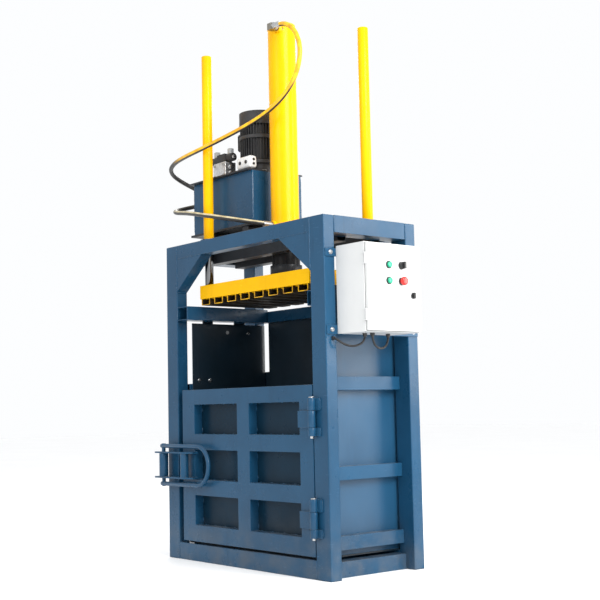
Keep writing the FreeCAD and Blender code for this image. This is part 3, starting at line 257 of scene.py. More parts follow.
def paint(name, colour, shade, gloss=0.30, dust=0.30, chips=0.45, grime=0.30, ior=1.30, coat=0.10):
    """Sprayed enamel on steel, with blotches, runs, scratches, chips, dust and splashes near the floor.

    The roughness is about gloss. Dust, chips and grime say how strong each of those marks is.
    """
    f = Finish(name)
    blotches = f.between(f.noise(2.6, 5.0, 0.6), 0.3, 0.7)
    tone = f.mix(blotches, colour, shade)
    runs = f.between(f.noise(3.0, 4.0, 0.5, (9.0, 9.0, 0.9)), 0.56, 0.80, 0.0, grime)
    tone = f.mix(runs, tone, tuple(0.45 * c for c in shade))
    scratch_a = f.between(f.noise(26.0, 3.0, 0.5, (1.0, 1.0, 14.0)), 0.665, 0.70)
    scratch_b = f.between(f.noise(5.0, 2.0), 0.48, 0.62)
    scratches = f.times(f.times(scratch_a, scratch_b), chips)
    tone = f.mix(scratches, tone, tuple(min(1.0, 1.7 * c + 0.05) for c in colour))
    chip = f.times(f.between(f.noise(19.0, 6.0, 0.7), 0.735, 0.75), chips)
    tone = f.mix(chip, tone, CHIPPED_PRIMER)
    settled = f.times(f.times(f.upward(), f.between(f.noise(7.0, 5.0), 0.25, 0.75)), dust)
    tone = f.mix(settled, tone, DUST)
    low = f.between(f.part_of(f.place, "Z"), SPLASH_HEIGHT, 0.0)
    splash = f.times(f.times(low, f.between(f.noise(11.0, 6.0), 0.35, 0.7)), SPLASH_SHARE)
    tone = f.mix(splash, tone, GROUND_SPLASH)
    rough = f.between(f.noise(6.0, 5.0), 0.25, 0.8, gloss - 0.07, gloss + 0.14)
    f.bump((f.noise(5.0, 2.0), 0.10, 0.004), (f.noise(260.0, 2.0), 0.10, 0.0006), (chip, 0.25, 0.0006))
    return f.set(Base_Color=tone, Roughness=rough, Metallic=0.0, IOR=ior, Coat_Weight=coat,
                 Coat_Roughness=0.14)


def bare_metal(name, colour, rough=0.32, stretch=(1.0, 1.0, 30.0), stain=0.25):
    """Drawn or turned steel with a fine grain and light stains."""
    f = Finish(name)
    grain = f.noise(90.0, 3.0, 0.5, stretch)
    tone = f.mix(f.between(grain, 0.3, 0.7), colour, tuple(0.78 * c for c in colour))
    stains = f.times(f.between(f.noise(9.0, 6.0, 0.65), 0.52, 0.72), stain)
    tone = f.mix(stains, tone, RUST_STAIN)
    f.bump((grain, 0.12, 0.0005), (f.noise(14.0, 3.0), 0.05, 0.002))
    spread = f.between(f.noise(12.0, 4.0), 0.3, 0.7, rough - 0.08, rough + 0.10)
    return f.set(Base_Color=tone, Roughness=spread, Metallic=1.0)


def cast_metal(name, colour):
    """A painted casting: pebbled, dull and unevenly dark."""
    f = Finish(name)
    tone = f.mix(f.between(f.noise(8.0, 5.0), 0.3, 0.7), colour, tuple(0.55 * c + 0.004 for c in colour))
    settled = f.times(f.upward(), f.between(f.noise(16.0, 4.0), 0.3, 0.8, 0.0, 0.5))
    tone = f.mix(settled, tone, DUST)
    f.bump((f.cells(240.0), 0.25, 0.0007), (f.noise(60.0, 4.0), 0.2, 0.001))
    return f.set(Base_Color=tone, Roughness=f.between(f.noise(10.0), 0.3, 0.7, 0.42, 0.62), Metallic=0.0)


def plastic(name, colour, rough=0.35, grain=420.0, dust=0.25):
    """Moulded plastic with a fine grain and finger marks."""
    f = Finish(name)
    tone = f.mix(f.between(f.noise(22.0, 4.0), 0.3, 0.7), colour, tuple(0.86 * c for c in colour))
    tone = f.mix(f.times(f.upward(), f.between(f.noise(30.0), 0.3, 0.8, 0.0, dust)), tone, DUST)
    f.bump((f.noise(grain, 2.0), 0.16, 0.0003))
    marks = f.between(f.noise(35.0, 4.0), 0.3, 0.7, rough - 0.06, rough + 0.1)
    return f.set(Base_Color=tone, Roughness=marks)


def hose_cover(name, lit_colour, lit_colour_dark, lowest, dark_end):
    """Hose rubber coloured by how light falls: the lit top is coloured and the underside is black. On
    the pressure hose the yellow is its wrap and the black underside is painted shade; on the return hose
    the cream top is a painted highlight on black rubber.

    The coloured top shows where the normal's Z is above lowest, and right of dark_end on X.
    """
    f = Finish(name)
    wrap = f.noise(150.0, 2.0)
    weave = f.cells(320.0, (1.0, 1.0, 0.55))
    black = f.mix(f.between(f.noise(14.0, 4.0), 0.3, 0.7), RUBBER, RUBBER_DARK)
    normal = f.nodes.new("ShaderNodeNewGeometry").outputs["Normal"]
    # Painted light and shade: upward-facing faces take the coloured top, downward-facing faces stay
    # black.
    lit_top = f.between(f.part_of(normal, "Z"), lowest, lowest + 0.35)
    along = f.between(f.part_of(f.place, "X"), dark_end, dark_end + 0.16)
    colour = f.mix(f.between(f.noise(22.0, 5.0), 0.35, 0.65), lit_colour, lit_colour_dark)
    tone = f.mix(f.times(along, lit_top), black, colour)
    f.bump((weave, 0.30, 0.0008), (wrap, 0.12, 0.0004))
    return f.set(Base_Color=tone, Roughness=f.between(wrap, 0.3, 0.7, 0.30, 0.46), IOR=1.42)


def floor_finish():
    """A pale studio floor, which glows a little so that its far edge meets the backdrop softly."""
    f = Finish("pale_floor")
    tone = f.mix(f.between(f.noise(0.9, 4.0), 0.3, 0.7), FLOOR_PALE, FLOOR_SHADE)
    f.bump((f.noise(60.0, 3.0), 0.03, 0.001))
    return f.set(Base_Color=tone, Roughness=0.55, IOR=1.2, Emission_Color=(1.0, 1.0, 1.0),
                 Emission_Strength=0.05)


def sheet_shaded_and_worn(name, shade_only_inside=False):
    """Chamber sheet, painted near-black as shade inside the chamber, and rubbed back to steel where
    bales slide.

    With shade_only_inside, only the inward faces carry that painted shade and the faces that look
    outward are frame blue.
    """
    f = Finish(name)
    shade = tuple(0.6 * c for c in CHAMBER_SHADE_BLUE)
    tone = f.mix(f.between(f.noise(3.0, 5.0), 0.3, 0.7), CHAMBER_SHADE_BLUE, shade)
    rubbed = f.between(f.noise(4.0, 7.0, 0.7, (1.0, 1.0, 3.0)), 0.62, 0.74, 0.0, 0.35)
    tone = f.mix(rubbed, tone, RUBBED_STEEL)
    # The inward faces keep the dark painted shade; the outward faces get the frame blue.
    if shade_only_inside:
        outward = f.between(f.away_from_axis(), 0.05, 0.2)
        outer = f.mix(f.between(f.noise(2.2, 5.0), 0.3, 0.7), BLUE, BLUE_DARK)
        streaks = f.between(f.noise(2.6, 5.0, 0.6, (7.0, 7.0, 0.8)), 0.54, 0.78, 0.0, 0.30)
        outer = f.mix(streaks, outer, tuple(1.5 * c for c in BLUE))
        tone = f.mix(outward, tone, outer)
    settled = f.times(f.upward(), f.between(f.noise(6.0, 5.0), 0.2, 0.7, 0.1, 0.7))
    tone = f.mix(settled, tone, tuple(0.4 * c for c in DUST))
    f.bump((f.noise(4.0, 3.0), 0.15, 0.006), (f.noise(160.0, 2.0), 0.1, 0.0006))
    rough = f.between(f.noise(5.0, 5.0), 0.3, 0.7, 0.34, 0.5)
    return f.set(Base_Color=tone, Roughness=rough, IOR=1.42, Coat_Weight=0.12, Coat_Roughness=0.2)


def channel_finish(name):
    """Channels under the platen: worn amber at their cut ends, and dark along their length as painted
    shade under the platen.
    """
    f = Finish(name)
    front = f.between(f.part_of(f.place, "Y"), CHANNEL_FRONT_END + 0.0015, CHANNEL_FRONT_END)
    back = f.between(f.part_of(f.place, "Y"), CHANNEL_REAR_END - 0.0020, CHANNEL_REAR_END)
    # Painted shade along the channels' length, between the amber ends.
    shaded_length = f.mix(f.between(f.noise(12.0, 5.0), 0.3, 0.7), CHANNEL_SHADE, CHANNEL_SHADE_DARK)
    end = f.mix(f.between(f.noise(40.0, 5.0), 0.35, 0.7), AMBER, WORN_AMBER)
    tone = f.mix(back, f.mix(front, shaded_length, end), end)
    f.bump((f.noise(90.0, 4.0), 0.2, 0.0008))
    rough = f.between(f.noise(14.0), 0.3, 0.7, 0.42, 0.62)
    return f.set(Base_Color=tone, Roughness=rough, IOR=1.4)


def barrel_finish(name):
    """Yellow enamel on the barrel and sleeves, down to the mounting plate; below it they are painted
    black as the shadow under the frame's top.
    """
    f = Finish(name)
    tone = f.mix(f.between(f.noise(2.2, 5.0, 0.6), 0.3, 0.7), YELLOW, YELLOW_DARK)
    runs = f.between(f.noise(3.4, 4.0, 0.5, (8.0, 8.0, 0.8)), 0.58, 0.82, 0.0, 0.28)
    tone = f.mix(runs, tone, YELLOW_RUN)
    chip = f.between(f.noise(19.0, 6.0, 0.7), 0.75, 0.765, 0.0, 0.6)
    tone = f.mix(chip, tone, YELLOW_CHIP)
    # Painted shadow: black below the mounting plate, where the frame's top shades the barrel.
    below = f.between(f.part_of(f.place, "Z"), BARREL_SHADOW_FROM, BARREL_SHADOW_FROM - BARREL_SHADOW_FADE)
    tone = f.mix(below, tone, SHADOW_BLACK)
    rough = f.between(f.noise(6.0, 5.0), 0.25, 0.8, 0.24, 0.40)
    f.bump((f.noise(5.0, 2.0), 0.10, 0.004), (f.noise(260.0, 2.0), 0.08, 0.0006))
    return f.set(Base_Color=tone, Roughness=rough, IOR=1.18, Coat_Weight=0.05, Coat_Roughness=0.12)


FINISHES = {
    "frame_blue": paint("frame_blue", BLUE, BLUE_DARK),
    # Painted shade: a darker blue for the back of the door's recesses, in place of the shade there.
    "recess_painted_shade": paint("recess_painted_shade", RECESS_SHADE_BLUE, tuple(0.7 * c for c in RECESS_SHADE_BLUE), dust=0.1,
                         chips=0.0, grime=0.15, ior=1.2, coat=0.0),
    "chamber_painted_shade": sheet_shaded_and_worn("chamber_painted_shade"),
    "wall_blue_shaded_inside": sheet_shaded_and_worn("wall_blue_shaded_inside", shade_only_inside=True),
    "tank_blue": paint("tank_blue", BLUE, BLUE_DARK, gloss=0.28, dust=0.15, chips=0.3),
    "ram_yellow": barrel_finish("ram_yellow"),
    "platen_amber": paint("platen_amber", AMBER, AMBER_DARK, gloss=0.34, dust=0.2, chips=0.5,
                          grime=0.15, ior=1.15, coat=0.03),
    "channel_amber_shaded": channel_finish("channel_amber_shaded"),
    "dark_paint": paint("dark_paint", DARK_PAINT, DARK_PAINT_SHADE, gloss=0.42, chips=0.4),
    "motor_black": cast_metal("motor_black", MOTOR_BLACK),
    "cast_grey": cast_metal("cast_grey", CAST_GREY),
    "aluminium": bare_metal("aluminium", ALUMINIUM, 0.36, (1.0, 30.0, 1.0), 0.1),
    "zinc": bare_metal("zinc", STEEL, 0.34, (8.0, 8.0, 8.0), 0.2),
    # The chrome's dark base colour is a painted reflection of the dark chamber.
    "chrome": bare_metal("chrome", CHROME_DARKENED_REFLECTION, 0.18, (1.0, 1.0, 0.2), 0.12),
    "weld_blue": paint("weld_blue", BLUE, BLUE_DARK, gloss=0.30, chips=0.2),
    "weld_amber": paint("weld_amber", AMBER, AMBER_DARK, gloss=0.34, chips=0.2),
    "cabinet_white": paint("cabinet_white", WHITE, CABINET_SHADE, gloss=0.40, dust=0.12, chips=0.08,
                           grime=0.06),
    "white_plastic": plastic("white_plastic", PALE_PLASTIC, 0.34),
    "grey_plastic": plastic("grey_plastic", GREY_PLASTIC, 0.42),
    "black_plastic": plastic("black_plastic", BLACK, 0.38),
    "green_plastic": plastic("green_plastic", GREEN, 0.22, 600.0, 0.05),
    "red_plastic": plastic("red_plastic", RED, 0.25, 600.0, 0.08),
    "pressure_cover_shaded_under": hose_cover("pressure_cover_shaded_under", PRESSURE_WRAP, PRESSURE_WRAP_DARK, -0.75, -0.74),
    "return_cover_painted_highlight": hose_cover("return_cover_painted_highlight", RETURN_PAINTED_HIGHLIGHT, RETURN_PAINTED_HIGHLIGHT_DARK, 0.10, -0.86),
    "fitting_steel": bare_metal("fitting_steel", FITTING_STEEL, 0.34, (8.0, 8.0, 8.0), 0.3),
    "cable_black": plastic("cable_black", CABLE_BLACK, 0.55, dust=0.05),
}

NODE_FINISHES = {
    "frame_blue": ("front_posts", "rear_posts", "front_top_beam", "rear_top_beam", "side_top_beams",
                   "arch_gussets", "base_sills", "wall_ribs", "side_rails", "rear_rail",
                   "guide_collars", "cabinet_straps",
                   "frame_hinge_knuckles", "door_grid", "door_hinge_leaves",
                   "latch_bracket", "latch_handle"),
    "chamber_painted_shade": ("floor_plate",),
    "wall_blue_shaded_inside": ("side_walls", "rear_wall"),
    "recess_painted_shade": ("door_back_plate",),
    "tank_blue": ("oil_tank",),
    "ram_yellow": ("cylinder_barrel", "guide_sleeves"),
    "platen_amber": ("platen_frame",),
    "channel_amber_shaded": ("platen_channels",),
    "dark_paint": ("tank_stand", "tank_lid", "cylinder_cross_beams", "cylinder_mount_plate",
                   "cylinder_gland"),
    "motor_black": ("motor_bell_housing", "motor_body", "fan_cowl", "solenoid_valve"),
    "cast_grey": ("oil_pump",),
    "aluminium": ("valve_manifold",),
    "zinc": ("hinge_pins", "cylinder_bolts", "piston", "motor_rotor"),
    "fitting_steel": ("hose_fittings",),
    "chrome": ("guide_rods", "piston_rod"),
    "cabinet_white": ("cabinet_case", "cabinet_door"),
    "grey_plastic": ("cabinet_switchgear",),
    "black_plastic": ("button_bezels", "selector_knob", "cabinet_lock", "cooling_fan", "filler_cap",
                      "cable_glands"),
    "green_plastic": ("green_button_upper", "green_button_lower"),
    "red_plastic": ("emergency_stop",),
    "pressure_cover_shaded_under": ("pressure_hose",),
    "return_cover_painted_highlight": ("return_hose",),
    "cable_black": ("cabinet_cable_front", "cabinet_cable_rear"),
}
SMALL_BEVELS = {"fan_cowl": 0.0008, "cabinet_case": 0.0009, "cabinet_door": 0.0013, "motor_body": 0.0007,
                "cooling_fan": 0.0005, "guide_sleeves": 0.0008, "selector_knob": 0.0012,
                "cabinet_lock": 0.0008, "tank_lid": 0.0012, "latch_handle": 0.001,
                "cylinder_bolts": 0.0008}
LARGE_BEVELS = {"front_posts": 0.0045, "rear_posts": 0.0045, "front_top_beam": 0.0035,
                "rear_top_beam": 0.0035, "side_top_beams": 0.0045, "side_rails": 0.0035,
                "base_sills": 0.0035, "door_grid": 0.003, "wall_ribs": 0.0035, "rear_rail": 0.003}
UNBEVELLED = {"floor_plate", "cylinder_barrel", "motor_rotor", "piston", "cabinet_switchgear"}


def dress_nodes():
    for finish, names in NODE_FINISHES.items():
        for name in names:
            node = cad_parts[name]
            node.data.materials.clear()
            node.data.materials.append(FINISHES[finish])
            if name in UNBEVELLED:
                continue
            weld = node.modifiers.new("Weld", "WELD")
            weld.merge_threshold = 0.00002
            bevel = node.modifiers.new("Bevel", "BEVEL")
            bevel.width = SMALL_BEVELS.get(name, LARGE_BEVELS.get(name, BEVEL_WIDTH))
            bevel.segments = 2
            bevel.limit_method = "ANGLE"
            bevel.angle_limit = BEVEL_ANGLE
            bevel.harden_normals = True
            bevel.use_clamp_overlap = True


# ------------------------------------------------------------------ mesh helpers
def from_bmesh(shape, name, body, finish):
    """The shape as a smooth shaded piece that rides on a body."""
    mesh = bpy.data.meshes.new(name)
    bmesh.ops.recalc_face_normals(shape, faces=shape.faces)
    shape.to_mesh(mesh)
    shape.free()
    piece = bpy.data.objects.new(name, mesh)
    bpy.context.scene.collection.objects.link(piece)
    mesh.materials.append(FINISHES[finish])
    for polygon in mesh.polygons:
        polygon.use_smooth = True
    split = piece.modifiers.new("Edges", "EDGE_SPLIT")
    split.split_angle = SMOOTHING_ANGLE
    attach(piece, body)
    return piece


def turn_to(direction):
    """Rotation that takes +Z to the given direction."""
    return Vector(direction).to_track_quat("Z", "Y").to_matrix().to_4x4()


def add_lathe(shape, profile, origin, direction, segments=40, closed=False):
    """A (radius, height) profile turned about an axis; the ends are closed unless it is a loop."""
    place = Matrix.Translation(origin) @ turn_to(direction)
    rings = []
    for radius, height in profile:
        if radius < 1e-6:
            rings.append([shape.verts.new(place @ Vector((0, 0, height)))])
            continue
        rings.append([shape.verts.new(place @ Vector((radius * math.cos(2 * math.pi * k / segments),
                                                      radius * math.sin(2 * math.pi * k / segments),
                                                      height))) for k in range(segments)])
    pairs = list(zip(rings, rings[1:]))
    if closed:
        pairs.append((rings[-1], rings[0]))
    for low, high in pairs:
        for k in range(segments):
            n = (k + 1) % segments
            corners = [low[k % len(low)], low[n % len(low)], high[n % len(high)], high[k % len(high)]]
            corners = list(dict.fromkeys(corners))
            if len(corners) > 2:
                shape.faces.new(corners)
    if not closed:
        for end in (rings[0], rings[-1]):
            if len(end) > 1:
                shape.faces.new(end)


def add_bolt(shape, place, direction, size, washer=True):
    """A hexagon head with a chamfered top on a washer. Size is the thread's diameter."""
    rise = 0.0
    if washer:
        edge = 0.12 * size
        add_lathe(shape, [(0, 0), (1.05 * size, 0), (1.1 * size, 0.4 * edge), (1.1 * size, edge),
                          (0, edge)], place, direction, 28)
        rise = edge
    across = 0.92 * size
    top = rise + 0.64 * size
    add_lathe(shape, [(0, rise), (across, rise), (across, top - 0.1 * size), (0.84 * across, top),
                      (0, top)], place, direction, 6)


def add_box(shape, low, high, radius=0.0, segments=3):
    size = [b - a for a, b in zip(low, high)]
    middle = [(a + b) / 2 for a, b in zip(low, high)]
    place = Matrix.Translation(middle) @ Matrix.Diagonal((*size, 1))
    made = bmesh.ops.create_cube(shape, size=1.0, matrix=place)
    if radius:
        edges = {edge for vert in made["verts"] for edge in vert.link_edges}
        bmesh.ops.bevel(shape, geom=list(edges), offset=radius, segments=segments, profile=0.5,
                        affect="EDGES", clamp_overlap=True)


def add_weld(shape, start, end, radius):
    """A rippled bead between two points."""
    start, end = Vector(start), Vector(end)
    along = end - start
    count = max(4, int(along.length / WELD_STEP))
    place = turn_to(along)
    rings = []
    for index in range(count + 1):
        share = index / count
        distance = share * along.length
        ripple = 1.0 + 0.13 * math.sin(distance * 1150.0) + 0.08 * math.sin(distance * 173.0)
        taper = min(1.0, 0.35 + 60.0 * min(distance, along.length - distance))
        middle = start + along * share
        rings.append([shape.verts.new(middle + place.to_3x3() @ Vector(
            (radius * ripple * taper * math.cos(math.pi * k / 4),
             radius * ripple * taper * math.sin(math.pi * k / 4), 0))) for k in range(8)])
    for low, high in zip(rings, rings[1:]):
        for k in range(8):
            n = (k + 1) % 8
            shape.faces.new((low[k], low[n], high[n], high[k]))
    shape.faces.new(rings[0])
    shape.faces.new(rings[-1])


def weld_level(shape, start_x, end_x, y, z, radius):
    add_weld(shape, (start_x, y, z), (end_x, y, z), radius)


def weld_upright(shape, x, y, start_z, end_z, radius):
    add_weld(shape, (x, y, start_z), (x, y, end_z), radius)


def add_weld_ring(shape, centre, ring_radius, direction, radius):
    """A rippled bead round a circle."""
    place = Matrix.Translation(centre) @ turn_to(direction)
    count = max(24, int(2 * math.pi * ring_radius / WELD_STEP))
    rings = []
    for index in range(count):
        angle = 2 * math.pi * index / count
        ripple = 1.0 + 0.14 * math.sin(angle * ring_radius * 1150.0)
        rings.append([shape.verts.new(place @ Vector((
            (ring_radius + radius * ripple * math.cos(math.pi * k / 3)) * math.cos(angle),
            (ring_radius + radius * ripple * math.cos(math.pi * k / 3)) * math.sin(angle),
            radius * ripple * math.sin(math.pi * k / 3)))) for k in range(6)])
    for index in range(count):
        low, high = rings[index], rings[(index + 1) % count]
        for k in range(6):
            n = (k + 1) % 6
            shape.faces.new((low[k], low[n], high[n], high[k]))


def cord_piece(name, node, points, radius, finish):
    """A hose or cable on the frame, along the same route as its CAD tube."""
    curve = bpy.data.curves.new(name, "CURVE")
    curve.dimensions = "3D"
    curve.bevel_depth = radius
    curve.bevel_resolution = 6
    curve.resolution_u = 16
    curve.use_fill_caps = True
    spline = curve.splines.new("NURBS")
    spline.points.add(len(points) - 1)
    for point, target in zip(points, spline.points):
        target.co = (*point, 1.0)
    spline.order_u = 3
    spline.use_endpoint_u = True
    curve.materials.append(FINISHES[finish])
    piece = bpy.data.objects.new(name, curve)
    bpy.context.scene.collection.objects.link(piece)
    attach(piece, "frame")
    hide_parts(node)


# ------------------------------------------------------------------ pieces
LEFT = (-1, 0, 0)
RIGHT = (1, 0, 0)
FORWARD = (0, -1, 0)
UP = (0, 0, 1)


def chamfered(radius, side, top_radius, top):
    """The profile of a solid disc or hexagon, straight up to side and tapered from there to the top."""
    return [(0, 0), (radius, 0), (radius, side), (top_radius, top), (0, top)]


def round_points(centre, radius, count, start):
    """Points evenly round a level circle, each with its angle."""
    for index in range(count):
        angle = start + 2 * math.pi * index / count
        x = centre.x + radius * math.cos(angle)
        y = centre.y + radius * math.sin(angle)
        yield angle, Vector((x, y, centre.z))


def build_cords():
    cord_piece("pressure_hose_line", "pressure_hose", PRESSURE_HOSE_ROUTE, HOSE_RADIUS,
               "pressure_cover_shaded_under")
    cord_piece("return_hose_line", "return_hose", RETURN_HOSE_ROUTE, HOSE_RADIUS,
               "return_cover_painted_highlight")
    cord_piece("front_cable_line", "cabinet_cable_front", FRONT_CABLE_ROUTE, CABLE_RADIUS,
               "cable_black")
    cord_piece("rear_cable_line", "cabinet_cable_rear", REAR_CABLE_ROUTE, CABLE_RADIUS,
               "cable_black")


FERRULE_RIBS = 5
FERRULE_PITCH = 0.008
FERRULE_LENGTH = 0.044
FERRULE_RIB_RADIUS = 0.0154
FERRULE_GROOVE_RADIUS = 0.0142
FERRULE_OVERLAP = 0.006
SWIVEL_NUT_OVERLAP = 0.022


def ferrule_profile():
    """A sleeve that is crimped into ribs."""
    profile = [(0, 0.0), (0.0145, 0.0)]
    for rib in range(FERRULE_RIBS):
        low = 0.003 + FERRULE_PITCH * rib
        profile += [(FERRULE_RIB_RADIUS, low), (FERRULE_RIB_RADIUS, low + 0.004),
                    (FERRULE_GROOVE_RADIUS, low + 0.005), (FERRULE_GROOVE_RADIUS, low + 0.007)]
    return profile + [(0.0138, FERRULE_LENGTH), (0, FERRULE_LENGTH)]


def build_ferrules():
    """Crimped sleeves on all four hose ends, and a hexagon nut on each but the one at the lower port."""
    shape = bmesh.new()
    crimped = ferrule_profile()
    swivel_nut = chamfered(0.0185, 0.014, 0.0165, 0.017)
    ends = ((PRESSURE_HOSE_ROUTE[0], PRESSURE_HOSE_ROUTE[1], True),
            (PRESSURE_HOSE_ROUTE[-1], PRESSURE_HOSE_ROUTE[-2], True),
            (RETURN_HOSE_ROUTE[0], RETURN_HOSE_ROUTE[1], True),
            (RETURN_HOSE_ROUTE[-1], RETURN_HOSE_ROUTE[-2], False))
    for end, towards, has_nut in ends:
        direction = (Vector(towards) - Vector(end)).normalized()
        add_lathe(shape, crimped, Vector(end) - direction * FERRULE_OVERLAP, direction)
        if has_nut:
            add_lathe(shape, swivel_nut, Vector(end) - direction * SWIVEL_NUT_OVERLAP, direction, 6)
    from_bmesh(shape, "hose_ferrules", "frame", "zinc")


STOP_COLLAR = 0.016
STOP_STEM_RADIUS = 0.013
STOP_DOME_START = 0.007
STOP_DOME_RISE = 0.009
STOP_DOME_FLAT = 0.0125
STOP_DOME_EDGE = 0.0003


def button_profile(radius, length):
    """A push button with a rounded rim round a shallow dish."""
    return [(0, 0), (radius, 0), (radius, length - 0.0022), (radius - 0.0006, length - 0.0009),
            (radius - 0.002, length), (radius - 0.0035, length), (radius - 0.0048, length - 0.0012),
            (0.5 * radius, length - 0.0017), (0, length - 0.0018)]


def emergency_stop_profile(radius, length):
    """A mushroom head with a rounded rim and a flat top, on a stem."""
    head = length - STOP_COLLAR
    profile = [(0, 0), (STOP_STEM_RADIUS, 0), (STOP_STEM_RADIUS, head), (radius - 0.002, head),
               (radius - STOP_DOME_EDGE, head + 0.0015), (radius, head + 0.004),
               (radius - STOP_DOME_EDGE, head + STOP_DOME_START)]
    reach = radius - STOP_DOME_EDGE - STOP_DOME_FLAT
    for step in range(1, 9):
        angle = math.radians(10 * step)
        profile.append((STOP_DOME_FLAT + reach * math.cos(angle),
                        head + STOP_DOME_START + STOP_DOME_RISE * math.sin(angle)))
    return profile + [(STOP_DOME_FLAT, length), (0, length)]


def build_buttons():
    for name in ("green_button_upper", "green_button_lower"):
        low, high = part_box(name)
        shape = bmesh.new()
        centre = Vector((low.x, (low.y + high.y) / 2, (low.z + high.z) / 2))
        profile = button_profile((high.y - low.y) / 2, high.x - low.x)
        add_lathe(shape, profile, centre, RIGHT, 48)
        piece = from_bmesh(shape, name + "_lens", name, "green_plastic")
        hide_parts(name)
    low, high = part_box("emergency_stop")
    shape = bmesh.new()
    centre = Vector((low.x, (low.y + high.y) / 2, (low.z + high.z) / 2))
    profile = emergency_stop_profile((high.z - low.z) / 2, high.x - low.x)
    add_lathe(shape, profile, centre, RIGHT, 56)
    piece = from_bmesh(shape, "emergency_stop_head", "emergency_stop", "red_plastic")
    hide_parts("emergency_stop")


BEZEL_INNER_RADIUS = 0.0134
BEZEL_OUTER_RADIUS = 0.018
MARK_HALF_WIDTH = 0.0012
MARK_LENGTH = 0.012
MARK_INSET = 0.001


def build_bezels():
    low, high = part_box("button_bezels")
    inner, outer = BEZEL_INNER_RADIUS, BEZEL_OUTER_RADIUS
    depth = high.x - low.x
    profile = [(inner, 0), (outer, 0), (outer, 0.45 * depth), (outer - 0.0006, 0.75 * depth),
               (outer - 0.0018, depth), (inner + 0.0012, depth), (inner, 0.8 * depth)]
    shape = bmesh.new()
    for y in (low.y + outer, high.y - outer):
        for z in (low.z + outer, high.z - outer):
            add_lathe(shape, profile, Vector((low.x, y, z)), RIGHT, 48, closed=True)
    piece = from_bmesh(shape, "button_rings", "cabinet_door", "black_plastic")
    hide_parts("button_bezels")


def build_selector_mark():
    """The white line on the selector's knob, flush with its face."""
    low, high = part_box("selector_knob")
    y = (low.y + high.y) / 2
    shape = bmesh.new()
    add_box(shape, (high.x - 0.0006, y - MARK_HALF_WIDTH, high.z - MARK_INSET - MARK_LENGTH),
            (high.x - 0.0001, y + MARK_HALF_WIDTH, high.z - MARK_INSET), 0.0003, 1)
    from_bmesh(shape, "selector_mark", "selector_knob", "white_plastic")


GLAND_BORE = 0.0052
GLAND_HEXAGON = 0.0110
POST_GLAND_HEXAGON = 0.0105


def build_glands():
    """Hexagon glands with a tapered nut round each cable."""
    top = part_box("cabinet_case")[0].z
    shape = bmesh.new()
    for x, y, z in (FRONT_CABLE_ROUTE[-1], REAR_CABLE_ROUTE[0], REAR_CABLE_ROUTE[-1]):
        rise = top - z
        place = Vector((x, y, z))
        add_lathe(shape, [(GLAND_BORE, 0), (0.0075, 0), (0.0090, 0.003), (0.0094, 0.45 * rise),
                          (GLAND_BORE, 0.45 * rise)], place, UP, 24, closed=True)
        base = 0.4 * rise
        add_lathe(shape, [(0, base), (GLAND_HEXAGON, base), (GLAND_HEXAGON, rise), (0, rise)],
                  place, UP, 6)
    end = Vector(FRONT_CABLE_ROUTE[0])
    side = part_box("front_posts")[1].x
    reach = end.x - side
    add_lathe(shape, chamfered(POST_GLAND_HEXAGON, 0.5 * reach, 0.0090, reach),
              Vector((side, end.y, end.z)), RIGHT, 6)
    piece = from_bmesh(shape, "gland_nuts", "frame", "black_plastic")
    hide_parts("cable_glands")


def build_cabinet_details():
    shape = bmesh.new()
    strap_low, strap_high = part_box("cabinet_straps")
    for z in (strap_low.z + 0.021, strap_high.z - 0.019):
        for y in (strap_low.y + 0.03, strap_high.y - 0.03, strap_high.y - 0.11):
            add_bolt(shape, Vector((strap_high.x, y, z)), RIGHT, 0.010)
    from_bmesh(shape, "strap_bolts", "frame", "zinc")
    low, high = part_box("cabinet_lock")
    shape = bmesh.new()
    y, z = (low.y + high.y) / 2, (low.z + high.z) / 2
    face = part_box("cabinet_door")[1].x
    bore, rim = 0.0112, 0.0165
    add_lathe(shape, [(bore, 0), (rim, 0), (rim, 0.0014), (0.0150, 0.0026), (bore, 0.0026)],
              Vector((face, y, z)), RIGHT, 40, closed=True)
    from_bmesh(shape, "lock_escutcheon", "cabinet_door", "zinc")


BELL_BOLT_CIRCLE = 0.101
COWL_SCREW_RISE = 0.010
SHIELD_BORE = 0.0925
SHIELD_RADIUS = 0.1085
SHIELD_CHAMFER = 0.001
SHIELD_WIDTH = 0.018
SHIELD_HEIGHTS = (0.0, 0.1365, 0.225)
TERMINAL_BOX = ((-0.041, 2.170), (0.041, 2.253))
TERMINAL_LID_THICK = 0.004
TERMINAL_SCREW_INSET = 0.007


def build_motor_details():
    low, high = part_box("motor_bell_housing")
    centre = (low + high) / 2
    shape = bmesh.new()
    bolt_ring = Vector((centre.x, centre.y, low.z))
    for _, spot in round_points(bolt_ring, BELL_BOLT_CIRCLE, 8, math.radians(22.5)):
        add_bolt(shape, spot, UP, 0.009)
    cowl_low, cowl_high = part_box("fan_cowl")
    screw_ring = Vector((centre.x, centre.y, cowl_low.z + COWL_SCREW_RISE))
    for angle, spot in round_points(screw_ring, (cowl_high.x - cowl_low.x) / 2, 4, math.radians(45)):
        add_bolt(shape, spot, (math.cos(angle), math.sin(angle), 0), 0.0045)
    from_bmesh(shape, "motor_bolts", "frame", "zinc")

    shape = bmesh.new()
    for height in SHIELD_HEIGHTS:
        z = high.z + height
        face = SHIELD_RADIUS - SHIELD_CHAMFER
        add_lathe(shape, [(SHIELD_BORE, z), (face, z), (SHIELD_RADIUS, z + 0.002),
                          (SHIELD_RADIUS, z + SHIELD_WIDTH - 0.002), (face, z + SHIELD_WIDTH),
                          (SHIELD_BORE, z + SHIELD_WIDTH)],
                  Vector((centre.x, centre.y, 0)), UP, 72, closed=True)
    from_bmesh(shape, "motor_end_shields", "frame", "motor_black")
    build_terminal_box(centre)


